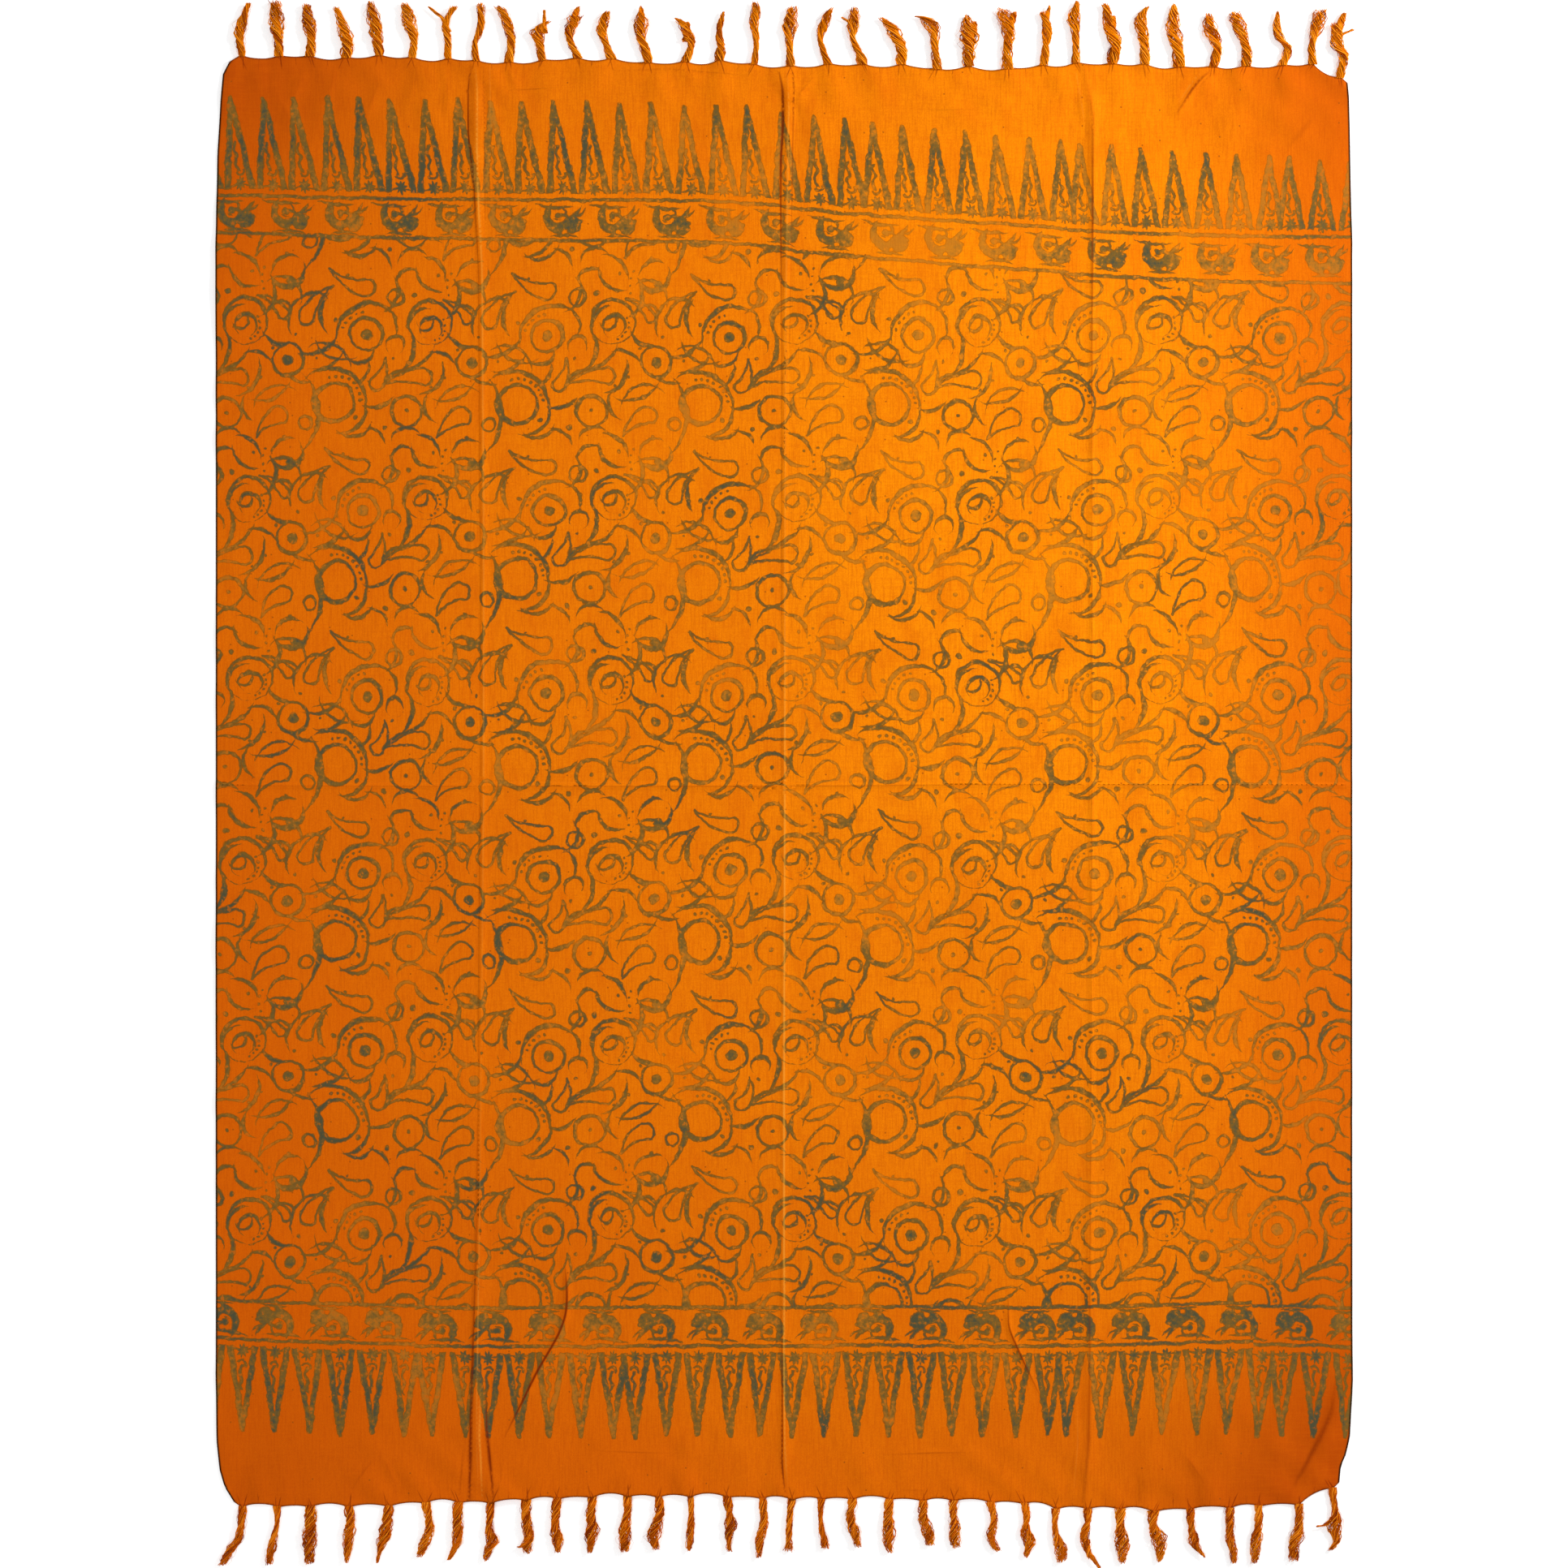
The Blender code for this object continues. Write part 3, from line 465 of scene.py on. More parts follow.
def gathers(points):
    """Height of the small pleats that run in from each tassel's root, and of the root itself."""
    draw = np.random.default_rng(GATHER_SEED)
    height = np.zeros(len(points))
    for rows, inward in ((TOP_TASSELS, -1), (BOTTOM_TASSELS, 1)):
        for row in rows:
            root = np.array(place(*row[0][:2]))
            reach = np.hypot(*(points - root).T)
            local = np.flatnonzero(reach < GATHER_REACH)
            offset = points[local] - root
            bulge = ROOT_BULGE * np.exp(-(reach[local] / ROOT_BULGE_REACH) ** 2)
            for turn in PLEAT_TURNS:
                angle = turn + draw.uniform(-PLEAT_SWING, PLEAT_SWING)
                length = draw.uniform(*PLEAT_LENGTH) * MM
                crest = draw.uniform(*PLEAT_HEIGHT) * MM
                way = np.array((math.sin(angle), inward * math.cos(angle)))
                run = offset @ way
                gap = np.abs(offset @ np.array((-way[1], way[0])))
                share = np.clip(run / length, 0.0, 1.0)
                width = (PLEAT_WIDTH[0] + PLEAT_WIDTH[1] * share) * MM
                pleat = crest * (1 - share) ** 1.5 * np.exp(-(gap / width) ** 2) * (run > 0)
                bulge = np.maximum(bulge, pleat)
            height[local] = np.maximum(height[local], bulge)
    return height


def swells(points):
    """Broad low waves in the cloth, a fraction of a millimetre high."""
    draw = np.random.default_rng(SWELL_SEED)
    height = np.zeros(len(points))
    for _ in range(SWELL_COUNT):
        length = draw.uniform(*SWELL_LENGTH)
        angle = draw.uniform(0, math.pi)
        way = np.array((math.cos(angle), math.sin(angle)))
        height += np.sin(points @ way * math.tau / length + draw.uniform(0, math.tau)) * length
    height = height / 1.6 + 0.35
    return SWELL_HEIGHT * np.clip(height, 0.0, None) ** 1.3


def crumple(points):
    """Soft short wrinkles that fade from the two ends into the field, mostly along the cloth."""
    draw = np.random.default_rng(CRUMPLE_SEED)
    height = np.zeros(len(points))
    for _ in range(CRUMPLE_COUNT):
        length = draw.uniform(*CRUMPLE_LENGTH)
        angle = draw.normal(0.0, 0.5)
        way = np.array((math.cos(angle), math.sin(angle)))
        bend = draw.uniform(*CRUMPLE_BEND)
        bow = 2.5 * np.sin(points[:, 1] * math.tau / bend)
        phase = points @ way * math.tau / length + bow + draw.uniform(0, 6)
        drift = np.sin(points[:, 0] * math.tau / draw.uniform(0.2, 0.6) + draw.uniform(0, 6))
        height += np.sin(phase) * np.clip(drift, 0.0, 1.0)
    near_end = np.clip((np.abs(points[:, 1]) - (CRUMPLE_END - CRUMPLE_REACH)) / CRUMPLE_REACH, 0.0, 1.0)
    near_side = np.clip((np.abs(points[:, 0]) - CRUMPLE_SIDE) / CRUMPLE_SIDE_REACH, 0.0, 1.0) * 0.5
    return CRUMPLE_HEIGHT * np.clip(height / 2.5 + 0.4, 0.0, 1.6) * np.maximum(near_end, near_side)


def panel_relief(points):
    """How far the cloth's underside stands off the floor, and the painted shade and highlight along its
    creases.
    """
    height = np.maximum(gathers(points), swells(points) + crumple(points))
    tone = np.zeros(len(points))
    for crest in CRESTS:
        widest = max(crest[:, 3].max(), 6 * PAINTED_SHADE_WIDTH)
        near = np.flatnonzero(near_box(points, crest, widest))
        gap, values = crest_distance(points[near], crest)
        share = np.clip(gap / values[:, 1], 0.0, 1.0)
        ridge = values[:, 0] * (1 - share ** 2) ** 2
        height[near] = np.maximum(height[near], ridge + 0.6 * height[near] * (ridge > 0))
        # Painted shade beside the creases where the tone is above nought, painted highlight along them
        # where it is below
        spread = np.where(values[:, 2] > 0, np.maximum(PAINTED_SHADE_WIDTH, PAINTED_SHADE_SPREAD * values[:, 1]), PAINTED_HIGHLIGHT_WIDTH)
        mark = np.where(values[:, 2] > 0, 1.0, PAINTED_HIGHLIGHT_SHARE) * values[:, 2] * np.exp(-(gap / spread) ** 2)
        stronger = np.abs(mark) > np.abs(tone[near])
        tone[near[stronger]] = mark[stronger]
    return height, tone


def root_places(points):
    """For each point: how far it lies sideways of the nearest tassel's root, and that tassel's own draw."""
    sideways = np.full(len(points), 50.0)
    draws = np.zeros(len(points))
    random = np.random.default_rng(GATHER_SEED)
    for rows, end in ((TOP_TASSELS, 1), (BOTTOM_TASSELS, -1)):
        for row in rows:
            gap = (points[:, 0] - place(*row[0][:2])[0]) / MM
            draw = random.uniform()
            nearer = (np.abs(gap) < np.abs(sideways)) & (points[:, 1] * end > 0)
            sideways[nearer] = gap[nearer]
            draws[nearer] = draw
    return sideways, draws


# Zones of the print by their distance from the middle in metres: the field alone, both, and the border
# alone. Each zone has a material of its own with only the strokes that reach it
ZONES = ("field", "meeting", "border")
ZONE_ENDS = (0.496, 0.568)


def make_panel(materials):
    """The woven panel as one thin shell with its creases and its scalloped ends."""
    outline = panel_outline()
    points = [Vector(spot) for spot in np.concatenate((outline, panel_points()))]
    edges = [(i, (i + 1) % len(outline)) for i in range(len(outline))]
    face = list(range(len(outline)))
    spots, _, triangles, _, _, _ = delaunay_2d_cdt(points, edges, [face], KEEP_INSIDE, MERGE)
    flat = np.array([(spot.x, spot.y) for spot in spots])
    height, tone = panel_relief(flat)
    left, right = edge_limits(flat[:, 1])
    border = np.minimum(flat[:, 0] - left, right - flat[:, 0])
    bottom, top = end_limits(flat[:, 0])
    end_gap = np.minimum(flat[:, 1] - bottom, top - flat[:, 1])
    mesh = bpy.data.meshes.new("cloth_panel")
    mesh.from_pydata(np.column_stack((flat, height)).tolist(), [], triangles)
    # Painted shade and highlight of the creases, and the distances from the edges that place the painted
    # shadow there
    mesh.attributes.new("crease_painted_light", "FLOAT", "POINT").data.foreach_set("value", tone)
    mesh.attributes.new("edge_gap", "FLOAT", "POINT").data.foreach_set("value", border / MM)
    mesh.attributes.new("end_gap", "FLOAT", "POINT").data.foreach_set("value", end_gap / MM)
    for label, values in zip(("root_side", "root_draw"), root_places(flat)):
        mesh.attributes.new(label, "FLOAT", "POINT").data.foreach_set("value", values)
    bm = bmesh.new()
    bm.from_mesh(mesh)
    bmesh.ops.delete(bm, geom=[vert for vert in bm.verts if not vert.link_faces], context="VERTS")
    for surface in bm.faces:
        surface.smooth = True
        surface.material_index = int(np.searchsorted(ZONE_ENDS, abs(surface.calc_center_median().y)))
        if surface.normal.z < 0:
            surface.normal_flip()
    bm.to_mesh(mesh)
    bm.free()
    for material in materials:
        mesh.materials.append(material)
    panel = bpy.data.objects.new("cloth_panel", mesh)
    bpy.context.scene.collection.objects.link(panel)
    wall = panel.modifiers.new("wall", "SOLIDIFY")
    wall.thickness = CLOTH_WALL
    wall.offset = 1.0
    wall.use_even_offset = False
    return finished(panel)


def finished(piece):
    """Turn a piece's modifiers into a plain mesh."""
    evaluated = piece.evaluated_get(bpy.context.evaluated_depsgraph_get())
    mesh = bpy.data.meshes.new_from_object(evaluated)
    name = piece.name
    piece.modifiers.clear()
    plain = bpy.data.objects.new(name + "_done", mesh)
    bpy.context.scene.collection.objects.link(plain)
    bpy.data.objects.remove(piece)
    plain.name = name
    mesh.name = name
    return plain


# Node building

class Wiring:
    """Short calls that add nodes to a tree. A value is a number, a tuple or another node's output."""

    def __init__(self, tree):
        self.tree = tree

    def node(self, kind, **settings):
        node = self.tree.nodes.new(kind)
        for name, value in settings.items():
            setattr(node, name, value)
        return node

    def feed(self, socket, value):
        if value is None:
            return
        if isinstance(value, bpy.types.NodeSocket):
            self.tree.links.new(value, socket)
        else:
            socket.default_value = value

    def math(self, operation, *values, clamp=False):
        node = self.node("ShaderNodeMath", operation=operation, use_clamp=clamp)
        for socket, value in zip(node.inputs, values):
            self.feed(socket, value)
        return node.outputs[0]

    def vector(self, operation, *values):
        node = self.node("ShaderNodeVectorMath", operation=operation)
        for socket, value in zip(node.inputs, values):
            self.feed(socket, value)
        scalar = operation in ("DISTANCE", "LENGTH", "DOT_PRODUCT")
        return node.outputs[1 if scalar else 0]

    def scaled(self, vector, factor):
        node = self.node("ShaderNodeVectorMath", operation="SCALE")
        self.feed(node.inputs[0], vector)
        self.feed(node.inputs["Scale"], factor)
        return node.outputs[0]

    def parts(self, vector):
        node = self.node("ShaderNodeSeparateXYZ")
        self.feed(node.inputs[0], vector)
        return node.outputs

    def joined(self, x=0.0, y=0.0, z=0.0):
        node = self.node("ShaderNodeCombineXYZ")
        for socket, value in zip(node.inputs, (x, y, z)):
            self.feed(socket, value)
        return node.outputs[0]

    def noise(self, vector, scale, detail=2.0, roughness=0.5, coloured=False, dimensions="2D"):
        node = self.node("ShaderNodeTexNoise", noise_dimensions=dimensions)
        self.feed(node.inputs["Vector"], vector)
        self.feed(node.inputs["Scale"], scale)
        self.feed(node.inputs["Detail"], detail)
        self.feed(node.inputs["Roughness"], roughness)
        return node.outputs["Color" if coloured else "Fac"]

    def ramp(self, value, low, high, out_low=0.0, out_high=1.0):
        node = self.node("ShaderNodeMapRange", interpolation_type="SMOOTHSTEP")
        for name, number in (("Value", value), ("From Min", low), ("From Max", high)):
            self.feed(node.inputs[name], number)
        self.feed(node.inputs["To Min"], out_low)
        self.feed(node.inputs["To Max"], out_high)
        return node.outputs[0]

    def blend(self, share, low, high, kind="MIX"):
        node = self.node("ShaderNodeMix", data_type="RGBA", blend_type=kind)
        self.feed(node.inputs[0], share)
        self.feed(node.inputs[6], low)
        self.feed(node.inputs[7], high)
        return node.outputs[2]

    def attribute(self, name):
        return self.node("ShaderNodeAttribute", attribute_name=name).outputs["Fac"]

    def curve(self, value, points):
        node = self.node("ShaderNodeFloatCurve")
        line = node.mapping.curves[0]
        line.points[0].location = points[0]
        line.points[1].location = points[-1]
        for spot in points[1:-1]:
            line.points.new(*spot)
        node.mapping.update()
        self.feed(node.inputs["Value"], value)
        return node.outputs[0]


# The print, charted in millimetres

REPEAT = (185, 182)
PEN = 0.9
WEB = 2.0
# from x, y to x, y, bulge to the left of that way, swell at the middle
ARCS = (
    # scroll, open at the lower right, with its curl and the long tail
    (67, 114, 27, 116, -33, 2.8), (27, 116, 42, 141, 7, 2.6), (59, 118, 37, 120, -13, 3.0),
    (37, 120, 50, 129, -6, 1.8), (27, 116, 20, 76, 7, 3.6), (20, 76, 2, 60, -3, 2.6),
    # moon outside the big ring
    (116, 72, 170, 38, 19, 3.8), (170, 38, 146, 10, 8, 2.8),
    # brow outside the ring with a dark eye
    (140, 110, 190, 138, 17, 4.0), (190, 138, 198, 114, 4, 2.0),
    # long curves that tie the motifs together
    (110, -4, 114, 64, -11, 3.8), (114, 64, 92, 71, 2, 2.2), (107, 92, 140, 110, -6, 3.0),
    (67, 114, 92, 102, -4, 3.4), (66, 132, 74, 166, -7, 3.4), (170, 38, 196, 46, -4, 3.0),
    (118, 76, 146, 92, -4, 2.6), (50, 96, 20, 76, 4, 2.6), (42, 52, 62, 84, -7, 3.2),
    # crescent moon and the line that hangs from it
    (106, 178, 74, 166, 14, 4.8), (74, 166, 104, 148, 10, 2.6), (104, 148, 92, 118, -5, 2.0),
    # leaves
    (120, 102, 152, 86, 7, 1.8), (120, 102, 152, 86, -6, 1.8), (58, 46, 92, 60, 7, 1.6),
    (58, 46, 92, 60, -5, 2.0),
    # hooks and short strokes
    (152, 86, 176, 94, -7, 2.8), (22, 102, 3, 102, -9, 2.4), (128, 116, 128, 148, 5, 3.4),
    (50, 96, 74, 86, 4, 2.6), (40, 10, 62, -10, 5, 2.8), (146, 10, 174, 16, -6, 2.6),
    (174, 16, 190, 2, 3, 2.0), (12, 166, 32, 177, 7, 2.6), (32, 177, 56, 158, -6, 2.8),
    (4, 138, 12, 166, -6, 2.4), (14, 8, 38, 14, 6, 2.4), (52, 26, 46, 50, 5, 2.4),
    (78, 142, 94, 136, 5, 1.8), (160, 62, 172, 82, -4, 2.2), (128, 148, 104, 148, -4, 2.2),
    (96, 6, 74, -6, -5, 2.4),
)
# centre, radius, swell, direction of the heavy side in degrees
RINGS = (
    (138, 42, 20, 3.0, 200), (92, 86, 15.5, 1.8, -60), (168, 112, 16, 2.0, 60), (26, 34, 15.5, 1.8, 120),
    (12, 150, 8, 1.4, 0), (110, 22, 6.5, 1.2, 90),
)
# tip, centre of the round end, its radius, bend of its middle to the left
DROPS = (
    (58, 8, 82, 30, 10, 4), (134, 158, 110, 130, 8.5, -4), (2, 60, 42, 70, 8.5, 4),
    (130, 176, 166, 158, 8.5, -4), (187, 88, 180, 62, 7.5, 3), (60, 150, 86, 132, 5.5, 3),
)
DROP_LINE = 0.6
# centre and radius
DOTS = (
    (92, 86, 5.6), (168, 112, 5.8), (93, 164, 4.6), (138, 126, 2.4), (30, 154, 3.0), (99, 112, 1.8),
    (50, 60, 1.8), (160, 26, 2.6), (4, 16, 2.8), (88, 8, 2.2), (76, 100, 1.8), (54, 174, 1.8),
    (26, 34, 2.2), (152, 72, 1.8), (120, 88, 1.6), (10, 88, 1.8), (64, 70, 1.6), (148, 170, 1.6),
)
# centre of the row's curve, its radius, first and last direction in degrees, number of dots, their radius
DOT_ROWS = (
    (138, 42, 27, 100, 5, 8, 1.8), (168, 112, 22.5, 100, 165, 5, 1.6), (90, 164, 26, 150, 215, 5, 1.4),
    (48, 122, 15, -70, 30, 6, 1.4),
)
LEAST_BULGE = 0.4
STRAIGHTEST = 0.05


def arc_stroke(w, here, ax, ay, bx, by, bulge, swell, repeat=REPEAT, pen=PEN):
    """Distance to a stroke: the sliver between two circles through both its ends, rounded by the pen."""
    middle = ((ax + bx) / 2, (ay + by) / 2)
    chord = math.hypot(bx - ax, by - ay)
    side = math.copysign(1.0, bulge)
    normal = (-(by - ay) / chord * side, (bx - ax) / chord * side)
    bulge = max(abs(bulge), LEAST_BULGE)
    spot = wrapped(w, here, middle, repeat) if repeat else here

    def circle(sag):
        if abs(sag) < STRAIGHTEST:
            sag = STRAIGHTEST
        radius = (chord * chord / 4 + sag * sag) / (2 * sag)
        centre = (middle[0] + normal[0] * (sag - radius), middle[1] + normal[1] * (sag - radius), 0.0)
        return w.vector("DISTANCE", spot, centre), radius

    far, outer_radius = circle(bulge + swell / 2)
    outer = w.math("SUBTRACT", far, outer_radius)
    near, inner_radius = circle(bulge - swell / 2)
    if inner_radius > 0:
        inner = w.math("SUBTRACT", inner_radius, near)
    else:
        inner = w.math("SUBTRACT", near, -inner_radius)
    return w.math("SUBTRACT", w.math("MAXIMUM", outer, inner), pen)


def wrapped(w, here, middle, repeat):
    """The nearest repeat of a point around a motif's middle."""
    half_x, half_y = repeat[0] / 2, repeat[1] / 2
    high = (middle[0] + half_x, middle[1] + half_y, 1.0)
    low = (middle[0] - half_x, middle[1] - half_y, -1.0)
    return w.vector("WRAP", here, high, low)


def ring_stroke(w, here, x, y, radius, swell, heavy):
    """Distance to a ring that is thicker on one side."""
    spot = wrapped(w, here, (x, y), REPEAT)
    shift = swell / 2
    turn = math.radians(heavy)
    outer = w.math("SUBTRACT", w.vector("DISTANCE", spot, (x, y, 0.0)), radius + swell / 2)
    inner_centre = (x - math.cos(turn) * shift, y - math.sin(turn) * shift, 0.0)
    inner = w.math("SUBTRACT", radius - swell / 2, w.vector("DISTANCE", spot, inner_centre))
    return w.math("SUBTRACT", w.math("MAXIMUM", outer, inner), PEN)


def drop_stroke(w, here, tip_x, tip_y, x, y, radius, bend):
    """Distance to the outline of a drop: a cone from its tip to its round end, bent a little."""
    spot = wrapped(w, here, ((tip_x + x) / 2, (tip_y + y) / 2), REPEAT)
    length = math.hypot(x - tip_x, y - tip_y)
    ahead = ((x - tip_x) / length, (y - tip_y) / length, 0.0)
    aside = (-ahead[1], ahead[0], 0.0)
    arm = w.vector("SUBTRACT", spot, (tip_x, tip_y, 0.0))
    run = w.vector("DOT_PRODUCT", arm, ahead)
    share = w.math("DIVIDE", run, length, clamp=True)
    bow = w.math("MULTIPLY", w.math("MULTIPLY", share, w.math("SUBTRACT", 1.0, share)), 4.0 * bend)
    off = w.math("SUBTRACT", w.vector("DOT_PRODUCT", arm, aside), bow)
    over = w.math("SUBTRACT", run, w.math("MULTIPLY", share, length))
    gap = w.vector("LENGTH", w.joined(off, over))
    wall = w.math("ABSOLUTE", w.math("MULTIPLY_ADD", share, -radius, gap))
    return w.math("SUBTRACT", wall, DROP_LINE + PEN)


def dot_stroke(w, here, x, y, radius):
    """Distance to a dot."""
    spot = wrapped(w, here, (x, y), REPEAT)
    return w.math("SUBTRACT", w.vector("DISTANCE", spot, (x, y, 0.0)), radius)


def field_print(w, here):
    """Distance to the ink of the field's repeat."""
    strokes = [arc_stroke(w, here, *row) for row in ARCS]
    strokes += [ring_stroke(w, here, *row) for row in RINGS]
    strokes += [drop_stroke(w, here, *row) for row in DROPS]
    ink = strokes[0]
    for stroke in strokes[1:]:
        ink = w.math("SMOOTH_MIN", ink, stroke, WEB)
    dots = list(DOTS)
    for x, y, reach, first, last, count, radius in DOT_ROWS:
        for step in range(count):
            turn = math.radians(first + (last - first) * step / (count - 1))
            dots.append((x + reach * math.cos(turn), y + reach * math.sin(turn), radius))
    for row in dots:
        ink = w.math("MINIMUM", ink, dot_stroke(w, here, *row))
    return ink


# Border: heights of its outer line as (x, y) pixels, top and bottom
TOP_LINE = ((266, 240), (600, 247), (900, 250), (1000, 260), (1250, 279), (1500, 290), (1666, 292))
BOTTOM_LINE = ((266, 1649), (460, 1657), (1000, 1658), (1300, 1660), (1570, 1655), (1666, 1658))
TOP_LINE_RANGE = (540, 610)
BOTTOM_LINE_RANGE = (550, 580)
BAND_WIDTH = (38, 47)
BAND_WIDTH_BOTTOM = 39.0
LINE_HALF = 2.0
# Rows of triangles in one run of the stamp: the pixel where the run starts, the tip of one of its triangles
# and the pitch, in pixels
StampRun = namedtuple("StampRun", "start tip pitch")
TOP_RUNS = tuple(StampRun(*row) for row in (
    (0, 1042, 40.0), (1057.5, 1073, 38.8), (1318, 1330, 38.7), (1574.5, 1587, 38.7)))
BOTTOM_RUNS = tuple(StampRun(*row) for row in (
    (0, 301, 39.8), (515, 531, 43.0), (588, 602.5, 38.2), (769, 782, 39.0), (1302, 1315, 39.2),
    (1563, 1576, 40.0)))
# Where one stamp's lines start, bottom and top, their length, and how far two stamps are out of line
LINE_STARTS = (50.2, 75.2)
LINE_RUN = 212.0
STAMP_JUMP = 3.5
STEM_HALF = 2.4
STEM_TALL = 26.0
TRIANGLE_OUTER = (16.6, 14.4)
TRIANGLE_INNER = (9.4, 13.2)
TRIANGLE_LEAN = (12.0, 2.0)
TRIANGLE_LEAN_BOTTOM = (-2.0, 4.0)
NARROWING = (1.38, -0.004)
TIP_SWAY = 4.0
TIP_ROUND = 3.0
BLOB_SPIKES = 8.0
TRIANGLE_BASE = 6.5
TRIANGLE_TOP_HEIGHT = ((0.0, 0.96), (0.45, 0.92), (0.55, 0.90), (1.0, 0.72))
TRIANGLE_BOTTOM_HEIGHT = 0.87
TRIANGLE_UNIT = 100
# The ornament in a triangle: a spiked blob, a garland under it, a hook and a waving tail
BLOB_RISE = 4.2
BLOB_RADIUS = 4.9
BLOB_SPIKE = 1.2
GARLAND_RISE = 4.0
GARLAND_SAG = 0.016
GARLAND_HALF = 1.1
GARLAND_REACH = 12.5
HOOK_CENTRE = (-0.6, 18.5, 0.0)
HOOK_RADIUS = 4.0
HOOK_HALF = 1.35
HOOK_TOP = 19.5
TAIL_START = 18.0
TAIL_ASIDE = 1.4
TAIL_HALF = 1.75
TAIL_WAVE = 0.42
TAIL_SWAY = 1.2
TAIL_END = 52.0
# The birds' pitch, the middle of one at each end, and the shift after the last join at the bottom
BIRD_PITCH = 55.1
BIRD_MIDDLE_TOP = -280.1
BIRD_MIDDLE_BOTTOM = -294.1
BIRD_SHIFT = -15.6


def line_height(w, across, line, span, sign):
    """Height of a border line above the middle of the cloth, in millimetres."""
    points = []
    for x, y in line:
        spot = place(x, y)
        share = (sign * spot[1] / MM - span[0]) / (span[1] - span[0])
        points.append((spot[0] / CLOTH_WIDTH + 0.5, share))
    share = w.curve(w.math("MULTIPLY_ADD", across, MM / CLOTH_WIDTH, 0.5), points)
    return w.math("MULTIPLY_ADD", share, span[1] - span[0], span[0])


def run_values(w, across, runs):
    """The tip, the pitch, the number of the run and the distance to its nearest start, in millimetres."""
    tip = place(runs[0].tip, 0)[0] / MM
    pitch = runs[0].pitch * PX / MM
    number = 0.0
    border = 1000.0
    for before, after in zip(runs, runs[1:]):
        seam = w.math("SUBTRACT", across, place(after.start, 0)[0] / MM)
        past = w.math("GREATER_THAN", seam, 0.0)
        tip = w.math("MULTIPLY_ADD", past, (after.tip - before.tip) * PX / MM, tip)
        pitch = w.math("MULTIPLY_ADD", past, (after.pitch - before.pitch) * PX / MM, pitch)
        number = w.math("ADD", past, number)
        border = w.math("MINIMUM", w.math("ABSOLUTE", seam), border)
    return tip, pitch, number, border


def mixed(w, share, low, high):
    """A value between two others, for sockets and plain numbers."""
    return w.math("MULTIPLY_ADD", w.math("SUBTRACT", high, low), share, low)


